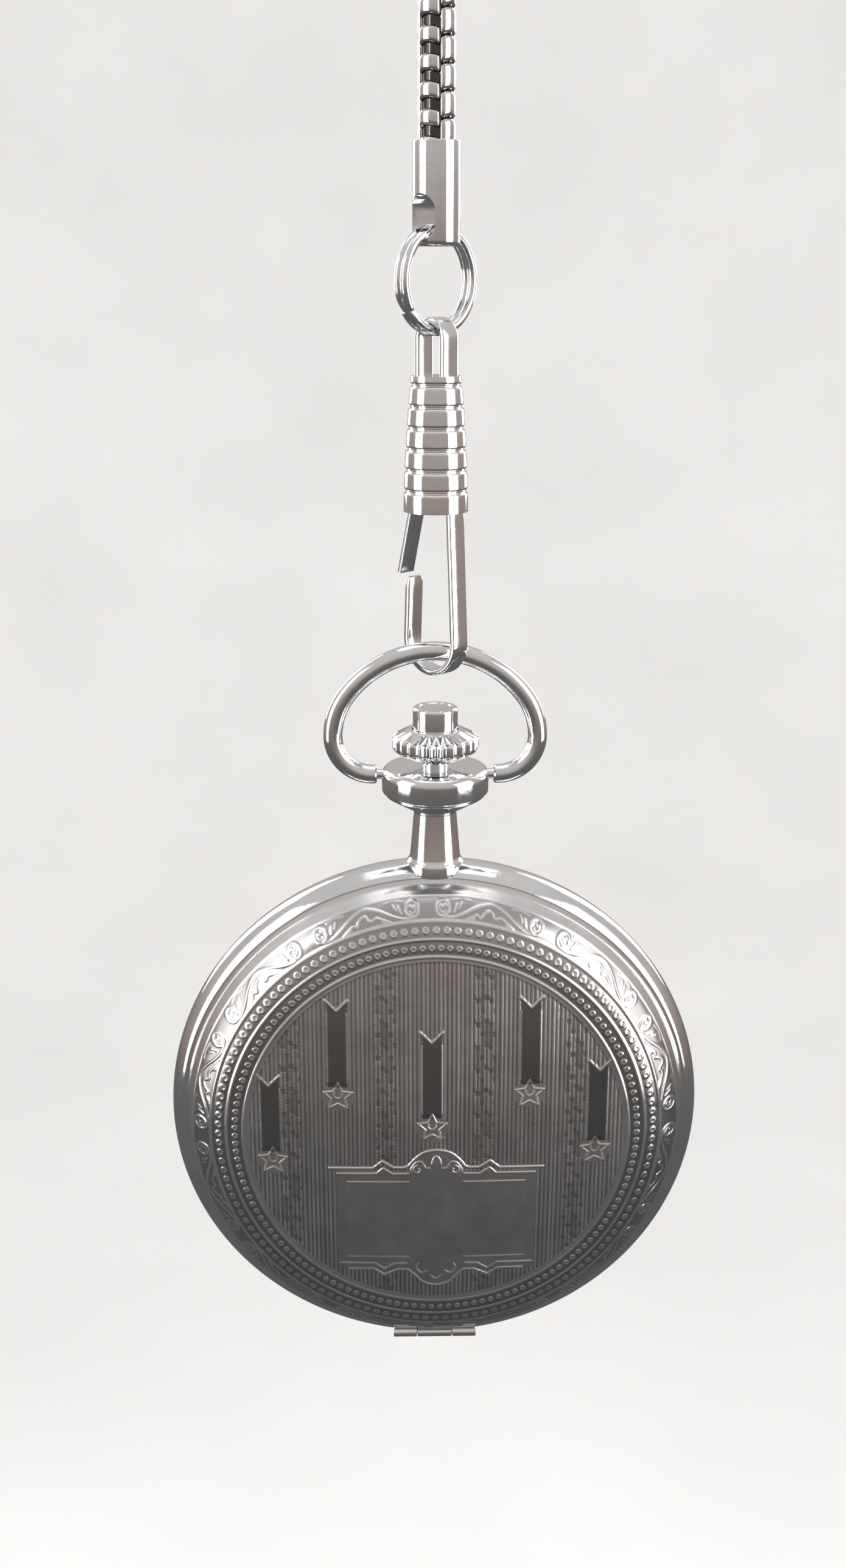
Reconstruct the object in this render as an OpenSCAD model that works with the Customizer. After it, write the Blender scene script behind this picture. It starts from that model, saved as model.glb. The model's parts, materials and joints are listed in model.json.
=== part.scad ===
// Hunter-case pocket watch with a quartz movement, hanging by its bow from a snake chain.
// Millimetres, +Z up, dial and engraved lid facing -Y. The origin is the centre of the bend
// of the upper clip's hook, which is where the whole watch hangs from.

/* [Case] */
// Outer diameter of the case band
case_d = 47; // [44:0.5:50]
// Height of the engraved lid's dome above the middle of the band
lid_rise = 6.9; // [6.8:0.1:7.2]
// Radius of the engraved lid's flat middle dome
lid_crown_r = 130; // [120:1:150]
// Radius of the engraved lid's rounded shoulder
lid_shoulder_r = 6; // [5.9:0.05:6.2]
// Height of the rear cover's dome above the middle of the band
rear_rise = 5.8; // [5.6:0.1:6.5]
// Wall thickness of the two covers
cover_wall = 0.55; // [0.4:0.05:0.6]
// Radius of the hinge knuckles
knuckle_r = 0.5; // [0.45:0.05:0.5]

/* [Pendant and crown] */
// Height of the bow's pin axis above the middle of the case
pin_rise = 31.1; // [31:0.1:31.3]
// Radius of the pendant's neck under the bulb
neck_top_r = 1.66; // [1.5:0.02:1.8]
// Radius of the pendant's neck at the band
neck_foot_r = 2.2; // [2:0.05:2.4]
// Radius of the pendant's bulb
bulb_r = 4.55; // [4.3:0.05:4.6]
// Radius of the crown over its flutes
crown_r = 3.67; // [3.4:0.01:3.8]
// Number of flutes round the crown
flute_count = 24; // [18:1:28]
// Radius of the push button in the crown
button_r = 1.88; // [1.8:0.02:2.0]
// Travel of the push button
button_travel = 1; // [0.8:0.1:1]

/* [Bow] */
// Half of the bow's width, to the middle of its wire
bow_half_w = 8.6; // [8.4:0.1:8.9]
// Height of the bow's top above its pins, to the middle of its wire
bow_rise = 10.6; // [10.5:0.1:10.9]
// Diameter of the bow's wire
bow_wire_d = 1.6; // [1.4:0.05:1.65]

/* [Chain and fittings] */
// Length of the snake chain between the ends that sit in the caps
chain_length = 32; // [31:0.5:60]
// Diameter of the snake chain
chain_d = 2.9; // [2.6:0.1:2.95]
// Radius of the end caps
cap_r = 1.85; // [1.8:0.05:2]
// Radius of the split rings, to the middle of the wire
ring_r = 3.8; // [3.7:0.05:4]
// Radius of the split rings' wire
ring_wire_r = 0.35; // [0.3:0.01:0.36]
// Width of the clips' flat strip
strip_w = 1.7; // [1.4:0.05:1.7]
// Thickness of the clips' flat strip
strip_t = 0.5; // [0.4:0.05:0.5]
// Turn of the lower clip away from facing the front, in degrees
clip_turn = 45; // [40:1:50]

/* [Movement] */
// Radius of the main plate
plate_r = 16; // [15.8:0.1:16]
// Radius of the dial
dial_r = 18.7; // [18.5:0.1:18.8]
// Radius of the battery
battery_r = 4.75; // [4:0.05:4.75]

/* [Hidden] */
$fn = 72;
smooth = 144;        // facets of the large round surfaces
eps = 0.01;          // overlap of a cut past the face it leaves
slip = 0.05;         // radial clearance of a running fit

// Round fits of the rings in the clips' loops and in the caps' slots
coil_offset = ring_wire_r - 0.01;
ring_gap = 0.03;
loop_in_r = 1.1;
slot_r = 1.2;
function seat(hole_r) = sqrt(pow(hole_r - ring_wire_r - ring_gap, 2) - pow(coil_offset, 2));
ring_in_r = ring_r - ring_wire_r;
slot_half = sqrt(pow(cap_r, 2) - pow(coil_offset + ring_wire_r, 2));
ring_to_loop = ring_r + seat(loop_in_r) - (ring_in_r - sqrt(pow(ring_in_r, 2) - pow(strip_w / 2, 2)));
ring_to_slot = ring_r + seat(slot_r) - (ring_in_r - sqrt(pow(ring_in_r, 2) - pow(slot_half, 2)));

// The upper clip faces the front
upper_turn = 0;

// Heights of a clip above the centre of its hook's bend
clip_loop_z = 24.03;
sleeve_foot_z = 10.6;
sleeve_h = 10.6;
hook_in_r = 2.37;
hook_out_r = hook_in_r + strip_t;
hook_tip_z = 5.0;
gate_tip_z = 5.3;
gate_top_z = sleeve_foot_z - 0.2;
gate_top_u = -2.2;
gate_tip_u = -3.45;
leg_foot_u = hook_in_r + strip_t / 2;
leg_mouth_u = 2.1;
loop_leg_z = 18.7;

// Heights of an end cap above its closed end
cap_h = 7.6;
cap_slot_z = 1.59;
cap_slot_run = 1.0;
cap_bore_r = 1.5;
cap_bore_h = 1.2;

// Heights in the hanging stack, from the hook at the top down to the case
upper_loop_z = -clip_loop_z;
upper_ring_z = upper_loop_z - ring_to_loop;
upper_slot_z = upper_ring_z - ring_to_slot;
upper_cap_mouth_z = upper_slot_z + cap_slot_z - cap_h;
chain_top_z = upper_cap_mouth_z + cap_bore_h;
chain_foot_z = chain_top_z - chain_length;
lower_cap_mouth_z = chain_foot_z + cap_bore_h;
lower_slot_z = lower_cap_mouth_z - cap_h + cap_slot_z;
lower_ring_z = lower_slot_z - ring_to_slot;
lower_loop_z = lower_ring_z - ring_to_loop;
lower_hook_z = lower_loop_z - clip_loop_z;
bow_seat = 0.95;
bow_pin_r = 0.42;
bow_top_z = lower_hook_z - bow_seat;
pin_z = bow_top_z - bow_rise;
case_z = pin_z - pin_rise;

// Route of the chain, a straight drop
chain_route = [[0, 0, chain_top_z], [0, 0, chain_foot_z]];
chain_ring_step = 2.5 * chain_d;

// Case, in its own frame: x to the right, y up, z out of the dial towards the front
band_r = case_d / 2;
band_arc_r = 2.5;
band_front = 2.3;
band_back = 2.5;
band_in_r = 20.45;
lid_shoulder_at = 16.6;
lid_foot = band_front + 0.05;
rear_edge_r = 22;
rear_sphere_r = (pow(rear_edge_r, 2) + pow(rear_rise - band_back - 0.2, 2)) / (2 * (rear_rise - band_back - 0.2));
hinge_y = -22.4;
hinge_f = 2.4;
hinge_pin_r = 0.22;
knuckle_half = 1.6;
knuckle_end = 3.8;

// Stem, button and catch, as heights above the middle of the case
tube_r = 1;
rod_r = 0.55;
tip_rod_r = 0.3;
stem_r = 0.6;
crown_foot = 32.3;
crown_floor = 32.7;
crown_top = 35.15;
button_foot = 34.1;
button_top = 37;
catch_in_r = 19.55;
catch_out_r = 19.85;
shoulder_y = 20.4;
rod_foot = 17;
channel_in_r = 18.9;

// Layers of the movement, as heights towards the front
dial_back = 1;
dial_front = 1.3;
plate_back = -0.9;
plate_front = 0.1;
bridge_front = -2.7;
bridge_back = -3.1;

// Arbors and tubes on the centre axis
seconds_r = 0.2;
centre_in_r = 0.25;
centre_out_r = 0.42;
cannon_out_r = 0.6;
hour_in_r = 0.66;
hour_out_r = 0.95;

// Teeth of the train and the places of its arbors
third_module = 0.11;
fourth_pinion_n = 8;
third_n = 60;
third_pinion_n = 8;
centre_n = 64;
third_dist = third_module * (fourth_pinion_n + third_n) / 2;
centre_module = 2 * third_dist / (third_pinion_n + centre_n);
third_dir = 170;
fourth_module = 0.155;
fourth_n = 40;
inter_pinion_n = 8;
inter_dist = fourth_module * (fourth_n + inter_pinion_n) / 2;
inter_dir = 20;
rotor_module = 0.1;
inter_n = 48;
rotor_pinion_n = 8;
rotor_dist = rotor_module * (inter_n + rotor_pinion_n) / 2;
rotor_dir = 60;
cannon_module = 0.16;
cannon_n = 12;
minute_n = 36;
minute_dist = cannon_module * (cannon_n + minute_n) / 2;
minute_dir = 120;
minute_pinion_n = 10;
hour_n = 40;
hour_module = 2 * minute_dist / (minute_pinion_n + hour_n);
setting_n = 20;
setting_dist = cannon_module * (minute_n + setting_n) / 2;
setting_dir = 75;

function polar(r, a) = [r * cos(a), r * sin(a)];
third_at = polar(third_dist, third_dir);
inter_at = polar(inter_dist, inter_dir);
rotor_at = inter_at + polar(rotor_dist, rotor_dir);
minute_at = polar(minute_dist, minute_dir);
setting_at = minute_at + polar(setting_dist, setting_dir);
bridge_posts = [[-3.2, 6.3], [7.62, 0], [-0.8, -7]];
battery_at = [-7.6, -8];
coil_x = 9.6;

// Phase that a gear needs to mesh with another, which lies the other way along dir
function mesh_phase(dir, phase, n, n2) = dir + 180 + (dir - phase) * n / n2 + 180 / n2;

// Outline of a gear with straight-sided teeth, one tooth centred at the phase angle
function gear_outline(n, m, phase) = let (
    r = n * m / 2,
    step = 360 / n,
    root = r - 1.2 * m,
    tip = r + 0.75 * m
) [
    for (k = [0 : n - 1]) for (corner = [[root, -0.27], [tip, -0.11], [tip, 0.11], [root, 0.27]])
        polar(corner[0], phase + step * (k + corner[1]))
];

module gear(n, m, phase, h) {
    linear_extrude(h) polygon(gear_outline(n, m, phase));
}

module steel() { color([0.76, 0.77, 0.79]) children(); }
module chrome() { color([0.86, 0.86, 0.87]) children(); }
module brass() { color([0.83, 0.68, 0.36]) children(); }

// Places children in the case's own frame
module in_case() {
    translate([0, 0, case_z]) rotate([90, 0, 0]) children();
}

// Places children that are turned about the stem's axis, with z as the height above the case's middle
module on_stem() {
    translate([0, 0, case_z]) children();
}

// A cylinder between two heights
module rod(r, from, to, sides = 48) {
    translate([0, 0, from]) cylinder(r = r, h = to - from, $fn = sides);
}

module tube(r_in, r_out, from, to) {
    difference() {
        rod(r_out, from, to);
        rod(r_in, from - 1, to + 1);
    }
}

// Places a clip with the centre of its hook's bend at height z, hook down or hook up
module clip_place(z, turn, hook_up) {
    translate([0, 0, z]) rotate([0, 0, -turn]) rotate([hook_up ? 180 : 0, 0, 0]) children();
}

// Extrudes a side outline of the clip's strip, drawn in x and z, by the strip's width
module strip(w = strip_w) {
    rotate([90, 0, 0]) translate([0, 0, -w / 2]) linear_extrude(w) children();
}

// Side outline of the clip's wire: loop, long leg, hook and tip
module clip_outline() {
    half = strip_t / 2;
    loop_u = loop_in_r + half;
    difference() {
        translate([0, clip_loop_z]) circle(loop_in_r + strip_t);
        translate([0, clip_loop_z]) circle(loop_in_r);
        translate([-hook_out_r, 0]) square([2 * hook_out_r, clip_loop_z]);
    }
    polygon([
        [-loop_u - half, clip_loop_z], [-loop_u + half, clip_loop_z],
        [-loop_u + half, loop_leg_z], [-loop_u - half, loop_leg_z]
    ]);
    polygon([
        [loop_u - half, clip_loop_z], [loop_u + half, clip_loop_z],
        [loop_u + half, loop_leg_z], [leg_mouth_u + half, sleeve_foot_z],
        [leg_foot_u + half, 0], [leg_foot_u - half, 0],
        [leg_mouth_u - half, sleeve_foot_z], [loop_u - half, loop_leg_z]
    ]);
    difference() {
        circle(hook_out_r);
        circle(hook_in_r);
        translate([-hook_out_r, 0]) square([2 * hook_out_r, hook_out_r]);
    }
    polygon([
        [-leg_foot_u - half, 0], [-leg_foot_u + half, 0],
        [-leg_foot_u + half + 0.2, hook_tip_z], [-leg_foot_u - half + 0.2, hook_tip_z]
    ]);
}

module clip_wire() {
    chrome() strip() clip_outline();
}

// Radius of the sleeve's ribs, from 0 at its foot to 1 at its top
function sleeve_r(t) = 2.6 - 0.6 * pow(t, 1.6);
sleeve_ribs = 6;
groove_depth = 0.18;
groove_half = 0.14;
function sleeve_profile() = let (pitch = (sleeve_h - 0.7) / sleeve_ribs) concat(
    [[0, 0]],
    [for (k = [0 : sleeve_ribs - 1]) for (corner = [[groove_half, 1], [pitch - groove_half, 1], [pitch, 0]])
        let (z = k * pitch + (k == 0 && corner[0] == groove_half ? 0 : corner[0]))
            [sleeve_r(z / sleeve_h) - (1 - corner[1]) * groove_depth, z]],
    [[sleeve_r(1), sleeve_h - 0.7 + groove_half], [sleeve_r(1), sleeve_h], [0, sleeve_h]]
);

module clip_sleeve() {
    chrome() difference() {
        translate([0, 0, sleeve_foot_z]) rotate_extrude() polygon(sleeve_profile());
        strip() clip_outline();
    }
}

module clip_gate() {
    half = strip_t / 2;
    steel() strip(strip_w - 0.1) polygon([
        [gate_top_u - half, gate_top_z], [gate_top_u + half, gate_top_z],
        [gate_tip_u + half, gate_tip_z], [gate_tip_u - half, gate_tip_z]
    ]);
}

// Two coils of wire side by side, each with a cut where its end lies
module split_ring(z, turn) {
    chrome() translate([0, 0, z]) rotate([0, 0, -turn]) rotate([0, 90, 0]) difference() {
        union() {
            for (side = [-1, 1])
                translate([0, 0, side * coil_offset]) rotate_extrude($fn = smooth)
                    translate([ring_r, 0]) circle(ring_wire_r, $fn = 32);
        }
        for (side = [-1, 1])
            rotate([0, 0, 90 - side * 60]) translate([ring_r, 0, side * coil_offset * 2])
                cube([4 * ring_wire_r, 0.12, 2 * coil_offset], center = true);
    }
}

// Closed at z = 0, with a cross slot for the ring and a blind bore for the chain at its top
module end_cap(turn) {
    chrome() rotate([0, 0, -turn]) difference() {
        rotate_extrude() polygon([
            [0, 0], [cap_r - 0.35, 0], [cap_r, 0.35], [cap_r, cap_h - 0.15], [cap_r - 0.15, cap_h], [0, cap_h]
        ]);
        for (z = [cap_slot_z, cap_slot_z + cap_slot_run])
            translate([0, 0, z]) rotate([90, 0, 0]) translate([0, 0, -2 * cap_r])
                cylinder(r = slot_r, h = 4 * cap_r);
        translate([-slot_r, -2 * cap_r, cap_slot_z]) cube([2 * slot_r, 4 * cap_r, cap_slot_run]);
        translate([0, 0, cap_h - cap_bore_h]) cylinder(r = cap_bore_r, h = cap_bore_h + 1);
    }
}

// A tube with flat ends, swept down a straight route with a ring of points every step
module cord(route, d, step, sides = 8) {
    run = route[1] - route[0];
    count = ceil(norm(run) / step);
    points = [for (k = [0 : count]) for (s = [0 : sides - 1])
        route[0] + run * k / count + [d / 2 * cos(360 * s / sides), d / 2 * sin(360 * s / sides), 0]];
    walls = [for (k = [0 : count - 1]) for (s = [0 : sides - 1])
        [k * sides + s, k * sides + (s + 1) % sides, (k + 1) * sides + (s + 1) % sides, (k + 1) * sides + s]];
    ends = [[for (s = [sides - 1 : -1 : 0]) s], [for (s = [0 : sides - 1]) count * sides + s]];
    polyhedron(points, concat(walls, ends));
}

module upper_clip_wire() { clip_place(0, upper_turn, true) clip_wire(); }
module upper_clip_sleeve() { clip_place(0, upper_turn, true) clip_sleeve(); }
module upper_clip_gate() { clip_place(0, upper_turn, true) clip_gate(); }
module upper_split_ring() { split_ring(upper_ring_z, upper_turn); }
module upper_end_cap() { translate([0, 0, upper_slot_z + cap_slot_z]) rotate([180, 0, 0]) end_cap(upper_turn); }
module snake_chain() { steel() cord(chain_route, chain_d, chain_ring_step); }
module lower_end_cap() { translate([0, 0, lower_slot_z - cap_slot_z]) end_cap(clip_turn); }
module lower_split_ring() { split_ring(lower_ring_z, clip_turn); }
module lower_clip_wire() { clip_place(lower_hook_z, clip_turn, false) clip_wire(); }
module lower_clip_sleeve() { clip_place(lower_hook_z, clip_turn, false) clip_sleeve(); }
module lower_clip_gate() { clip_place(lower_hook_z, clip_turn, false) clip_gate(); }

// One arc of the bow's wire about a centre in the bow's plane
module bow_arc(centre_z, centre_x, r, from, to) {
    translate([centre_x, 0, centre_z]) rotate([90, 0, 0]) rotate([0, 0, from])
        rotate_extrude(angle = to - from, $fn = smooth) translate([r, 0]) circle(bow_wire_d / 2, $fn = 32);
}

// The bow is a flattened ring of arcs, open at its foot, where its two pins turn in the pendant
module bow() {
    corner_r = 3.3;
    shoulder_r = 6;
    end_x = 4.95;
    pin_in_x = 3.6;
    shoulder_x = bow_half_w - shoulder_r;
    turn = 90 - 2 * atan((bow_rise - corner_r - shoulder_r) / shoulder_x);
    top_r = shoulder_r + shoulder_x / cos(turn);
    centre_z = pin_z + corner_r;
    steel() {
        bow_arc(centre_z - (top_r - shoulder_r) * sin(turn), 0, top_r, turn, 180 - turn);
        for (side = [0, 1]) mirror([side, 0, 0]) {
            bow_arc(centre_z, shoulder_x, shoulder_r, 0, turn);
            bow_arc(centre_z, bow_half_w - corner_r, corner_r, -90, 0);
            translate([end_x, 0, pin_z]) rotate([0, 90, 0])
                cylinder(r = bow_wire_d / 2, h = bow_half_w - corner_r - end_x, $fn = 32);
            translate([pin_in_x, 0, pin_z]) rotate([0, 90, 0])
                cylinder(r = bow_pin_r, h = end_x - pin_in_x + eps, $fn = 32);
        }
    }
}

// Half outline of the case band: radius and height towards the front
module band_profile() {
    difference() {
        union() {
            translate([band_r - band_arc_r, 0]) circle(band_arc_r, $fn = smooth);
            translate([band_in_r - 1, -band_back]) square([band_r - band_arc_r - band_in_r + 1, band_front + band_back]);
        }
        translate([0, band_front]) square([band_r + 1, band_arc_r]);
        translate([0, -band_back - band_arc_r]) square([band_r + 1, band_arc_r]);
        translate([0, -band_r]) square([band_in_r, case_d]);
    }
}

// Knuckle cylinders along the hinge axis between two distances from the middle
module knuckle(r, from, to) {
    for (side = [0, 1]) mirror([side, 0, 0])
        translate([from, hinge_y, hinge_f]) rotate([0, 90, 0]) cylinder(r = r, h = to - from, $fn = 48);
}

module case_band() {
    chrome() in_case() difference() {
        union() {
            rotate_extrude($fn = smooth) band_profile();
            knuckle(knuckle_r, knuckle_half + slip, knuckle_end);
            for (side = [0, 1]) mirror([side, 0, 0])
                translate([knuckle_half + slip, hinge_y, band_front - 1])
                    cube([knuckle_end - knuckle_half - slip, 2 * knuckle_r, 1]);
        }
        knuckle(knuckle_r + 0.12, -slip, knuckle_half + slip);
        knuckle(hinge_pin_r, 0, knuckle_end + 1);
        rotate([-90, 0, 0]) rod(tube_r + slip, band_in_r - 1, band_r + 1);
    }
}

// Bulb and neck in one turned piece, seated on the band
module pendant() {
    ridge_h = pin_rise - 1.5;
    chrome() on_stem() difference() {
        union() {
            rotate_extrude($fn = smooth) difference() {
                union() {
                    polygon([
                        [0, 22.2], [neck_foot_r + 0.2, 22.2], [neck_foot_r + 0.2, 23.45], [neck_foot_r, 23.6],
                        [neck_top_r, 28], [bulb_r - 0.25, ridge_h - 0.15], [bulb_r - 0.25, ridge_h], [bulb_r, ridge_h],
                        [bulb_r, 31.5], [0, 31.5]
                    ]);
                    translate([bulb_r - 0.5, 31.3]) circle(0.5);
                    translate([0, 31]) square([bulb_r - 0.5, 0.8]);
                }
            }
        }
        rod(tube_r, 20, 33);
        rotate([90, 0, 0]) rotate_extrude($fn = smooth) union() {
            translate([band_r - band_arc_r, 0]) circle(band_arc_r, $fn = smooth);
            translate([0, -band_arc_r]) square([band_r - band_arc_r, 2 * band_arc_r]);
        }
        for (side = [-1, 1])
            translate([side * 3.5, 0, pin_rise]) rotate([0, 90 * side, 0]) cylinder(r = bow_pin_r + slip, h = 2, $fn = 32);
    }
}

// Solid between a spherical dome and its foot plane, in the case's frame
module dome_profile(sphere_r, rise, edge_r, foot) {
    intersection() {
        translate([0, rise - sphere_r]) circle(sphere_r, $fn = 360);
        translate([0, foot]) square([edge_r, rise]);
    }
}

// Solid under the lid's surface set in by a distance: a flat dome that turns over into a rounded shoulder
module lid_profile(set_in, foot) {
    dome_r = lid_crown_r - set_in;
    shoulder_r = lid_shoulder_r - set_in;
    dome_z = lid_rise - lid_crown_r;
    shoulder_z = dome_z + sqrt(pow(lid_crown_r - lid_shoulder_r, 2) - pow(lid_shoulder_at, 2));
    join_r = lid_shoulder_at * dome_r / (dome_r - shoulder_r);
    intersection() {
        translate([0, foot]) square([band_r, lid_rise]);
        union() {
            intersection() {
                translate([0, dome_z]) circle(dome_r, $fn = 720);
                square([join_r, lid_rise]);
            }
            translate([lid_shoulder_at, shoulder_z]) circle(shoulder_r, $fn = 180);
        }
    }
}

module front_lid() {
    chrome() in_case() difference() {
        union() {
            rotate_extrude($fn = smooth) difference() {
                lid_profile(0, lid_foot);
                lid_profile(cover_wall, lid_foot - 1);
            }
            translate([-1.6, 20.4, lid_foot]) cube([3.2, 1.1, 0.3]);
            knuckle(knuckle_r, 0, knuckle_half);
            translate([-knuckle_half, hinge_y, lid_foot + 0.05]) cube([2 * knuckle_half, 0.9, knuckle_r - 0.1]);
        }
        knuckle(knuckle_r + 0.12, knuckle_half, knuckle_end + 0.1);
        knuckle(hinge_pin_r + 0.04, -eps, knuckle_half + 1);
    }
}

module lid_hinge_pin() {
    steel() in_case() translate([-knuckle_end, hinge_y, hinge_f]) rotate([0, 90, 0])
        cylinder(r = hinge_pin_r, h = 2 * knuckle_end, $fn = 48);
}

// A curved strip in the channel between the movement and the band
module channel_strip(r_in, r_out, from, to, start, turn) {
    rotate([0, 0, start]) translate([0, 0, from]) rotate_extrude(angle = turn, $fn = smooth)
        translate([r_in, 0]) square([r_out - r_in, to - from]);
}

module lid_spring() {
    steel() in_case() {
        channel_strip(19.9, 20.35, -1, 1, 235, 70);
        translate([-1.2, -20.3, 0.9]) cube([2.4, 0.4, 1.3]);
    }
}

module lid_catch() {
    steel() in_case() difference() {
        union() {
            channel_strip(catch_in_r, catch_out_r, -0.9, 0.9, 60, 60);
            translate([-1.4, catch_in_r + 0.02, 0.5]) cube([2.8, 0.27, 2.45]);
            translate([-1.4, catch_in_r + 0.02, 2.72]) cube([2.8, 0.7, 0.23]);
        }
        rotate([-90, 0, 0]) rod(tip_rod_r + 0.1, 18, 21);
    }
}

module rear_cover() {
    rim_in = 19.9;
    chrome() in_case() mirror([0, 0, 1]) difference() {
        union() {
            rotate_extrude($fn = smooth) difference() {
                dome_profile(rear_sphere_r, rear_rise, rear_edge_r, band_back + slip);
                dome_profile(rear_sphere_r - cover_wall, rear_rise - cover_wall, rim_in, band_back - 1);
            }
            tube(rim_in, band_in_r - slip, band_back - 1.2, band_back + 0.4);
        }
        translate([-1.5, -rear_edge_r - 0.6, band_back - slip]) cube([3, 1, 0.5]);
    }
}

module crown_tube() {
    steel() on_stem() tube(rod_r + slip, tube_r, 28.6, crown_floor);
}

module crown() {
    chrome() on_stem() difference() {
        rotate_extrude($fn = smooth) polygon([
            [0, crown_foot], [1.5, crown_foot], [crown_r - 0.1, crown_foot + 0.95], [crown_r, crown_foot + 1.1],
            [crown_r, crown_foot + 1.95], [crown_r - 0.15, crown_foot + 2.15],
            [button_r + 0.35, crown_top], [0, crown_top]
        ]);
        rod(tube_r + slip, crown_foot - 1, crown_floor + 0.02);
        rod(rod_r + slip, crown_floor - 1, crown_top);
        rod(button_r + slip, crown_floor, crown_top + 1);
        for (k = [0 : flute_count - 1])
            rotate([0, 0, 360 * k / flute_count]) translate([crown_r + 0.12, 0, 30])
                cylinder(r = 0.3, h = 10, $fn = 16);
    }
}

module push_button() {
    chrome() on_stem() rotate_extrude($fn = smooth) polygon([
        [0, button_foot], [button_r, button_foot], [button_r, button_top - 0.15], [button_r - 0.15, button_top],
        [button_r - 0.6, button_top], [button_r - 0.6, button_top - 0.12], [0, button_top - 0.12]
    ]);
}

// Stepped rod riveted under the button, down to the catch and the stem
module button_rod() {
    steel() on_stem() rotate_extrude($fn = smooth) polygon([
        [0, rod_foot], [tip_rod_r, rod_foot], [tip_rod_r, shoulder_y], [rod_r, shoulder_y], [rod_r, button_foot],
        [0, button_foot]
    ]);
}

// Coil of round wire, swept as one polyhedron
module button_spring() {
    wire_r = 0.11;
    coil_r = 1.35;
    foot = crown_floor + wire_r + 0.02;
    rise = button_foot - crown_floor - 2 * wire_r - 0.04;
    turns = 3;
    per_turn = 24;
    count = turns * per_turn;
    sides = 6;
    points = [for (k = [0 : count]) for (s = [0 : sides - 1])
        let (a = 360 * k / per_turn, c = 360 * s / sides, r = coil_r + wire_r * cos(c))
            [r * cos(a), r * sin(a), foot + rise * k / count + wire_r * sin(c)]];
    walls = [for (k = [0 : count - 1]) for (s = [0 : sides - 1])
        [k * sides + s, (k + 1) * sides + s, (k + 1) * sides + (s + 1) % sides, k * sides + (s + 1) % sides]];
    ends = [[for (s = [0 : sides - 1]) s], [for (s = [sides - 1 : -1 : 0]) count * sides + s]];
    steel() on_stem() polyhedron(points, concat(walls, ends));
}

module bezel() {
    chrome() in_case() difference() {
        rotate_extrude($fn = smooth) polygon([
            [17, dial_front + slip], [20.4, dial_front + slip], [20.4, 2.25], [18.3, 3.75],
            [17.65, 3.75], [17.65, 2.8], [17, 2.8]
        ]);
        translate([-1.8, 18.7, 0]) cube([3.6, 3, 5]);
        translate([-1.5, -21, 0]) cube([3, 1.3, 5]);
    }
}

module crystal_gasket() {
    color([0.12, 0.12, 0.13]) in_case() tube(17.3, 17.65, 2.8, 3.65);
}

module crystal() {
    color([0.85, 0.92, 0.95, 0.35]) in_case() rotate_extrude($fn = smooth) union() {
        translate([0, 2.8]) square([17.3, 0.7]);
        intersection() {
            translate([0, 5.1 - 94]) circle(94, $fn = 360);
            translate([0, 3.4]) square([17.3, 3]);
        }
    }
}

// Round dial with raised hour marks
module dial() {
    color([0.95, 0.94, 0.91]) in_case() difference() {
        union() {
            rod(dial_r, dial_back, dial_front, smooth);
            for (k = [0 : 11])
                rotate([0, 0, 30 * k]) translate([-0.2, 12.4, dial_back])
                    cube([0.4, k % 3 == 0 ? 3 : 2, dial_front - dial_back + 0.1]);
        }
        rod(hour_out_r + 0.1, 0, 2);
        translate([0, 0, -1]) linear_extrude(1.05 + dial_back) translate([-1.8, 18.6]) square([3.6, 1]);
    }
}

// A flat pointed hand with a round boss, pointing up, from its tail to its tip
module hand(length, tail, w, boss_r, hole_r, from, to) {
    in_case() translate([0, 0, from]) linear_extrude(to - from) difference() {
        union() {
            circle(boss_r);
            polygon([
                [-w * 0.3, -tail], [w * 0.3, -tail], [w / 2, 0], [w * 0.42, length * 0.6],
                [0, length], [-w * 0.42, length * 0.6], [-w / 2, 0]
            ]);
        }
        circle(hole_r);
    }
}

module hour_hand() {
    color([0.1, 0.12, 0.28]) rotate_in_case(55) hand(9, 0, 1.3, 1.3, hour_out_r, 1.6, 1.75);
}

module minute_hand() {
    color([0.1, 0.12, 0.28]) rotate_in_case(-60) hand(14, 0, 1.1, 1, cannon_out_r, 2, 2.15);
}

module seconds_hand() {
    color([0.1, 0.12, 0.28]) rotate_in_case(150) hand(15, 4, 0.4, 0.6, seconds_r, 2.4, 2.5);
}

// Turns a piece about the dial's axis
module rotate_in_case(a) {
    translate([0, 0, case_z]) rotate([0, -a, 0]) translate([0, 0, -case_z]) children();
}

module movement_ring() {
    color([0.93, 0.93, 0.9]) in_case() difference() {
        tube(plate_r + 0.02, channel_in_r, -2, dial_back);
        rotate([-90, 0, 0]) rod(stem_r + 0.1, 15, 20);
    }
}

// Post that a wheel turns on, standing on the dial side of the main plate
module post(at, r, to) {
    translate([at[0], at[1], plate_front - eps]) cylinder(r = r, h = to - plate_front + eps, $fn = 32);
}

module main_plate() {
    brass() in_case() difference() {
        union() {
            rod(plate_r, plate_back, plate_front, smooth);
            post(minute_at, 0.3, 0.8);
            post(setting_at, 0.3, 0.55);
            for (at = bridge_posts)
                translate([at[0], at[1], bridge_front]) cylinder(r = 0.7, h = -bridge_front + plate_back + eps);
        }
        rod(centre_out_r + slip, -2, 1);
        for (at = [third_at, inter_at, rotor_at])
            translate([at[0], at[1], plate_back - 1]) cylinder(r = 0.15 + slip, h = 1.4, $fn = 32);
        translate([-1.05, 9.5, -2]) cube([2.1, 7, 3]);
    }
}

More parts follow.
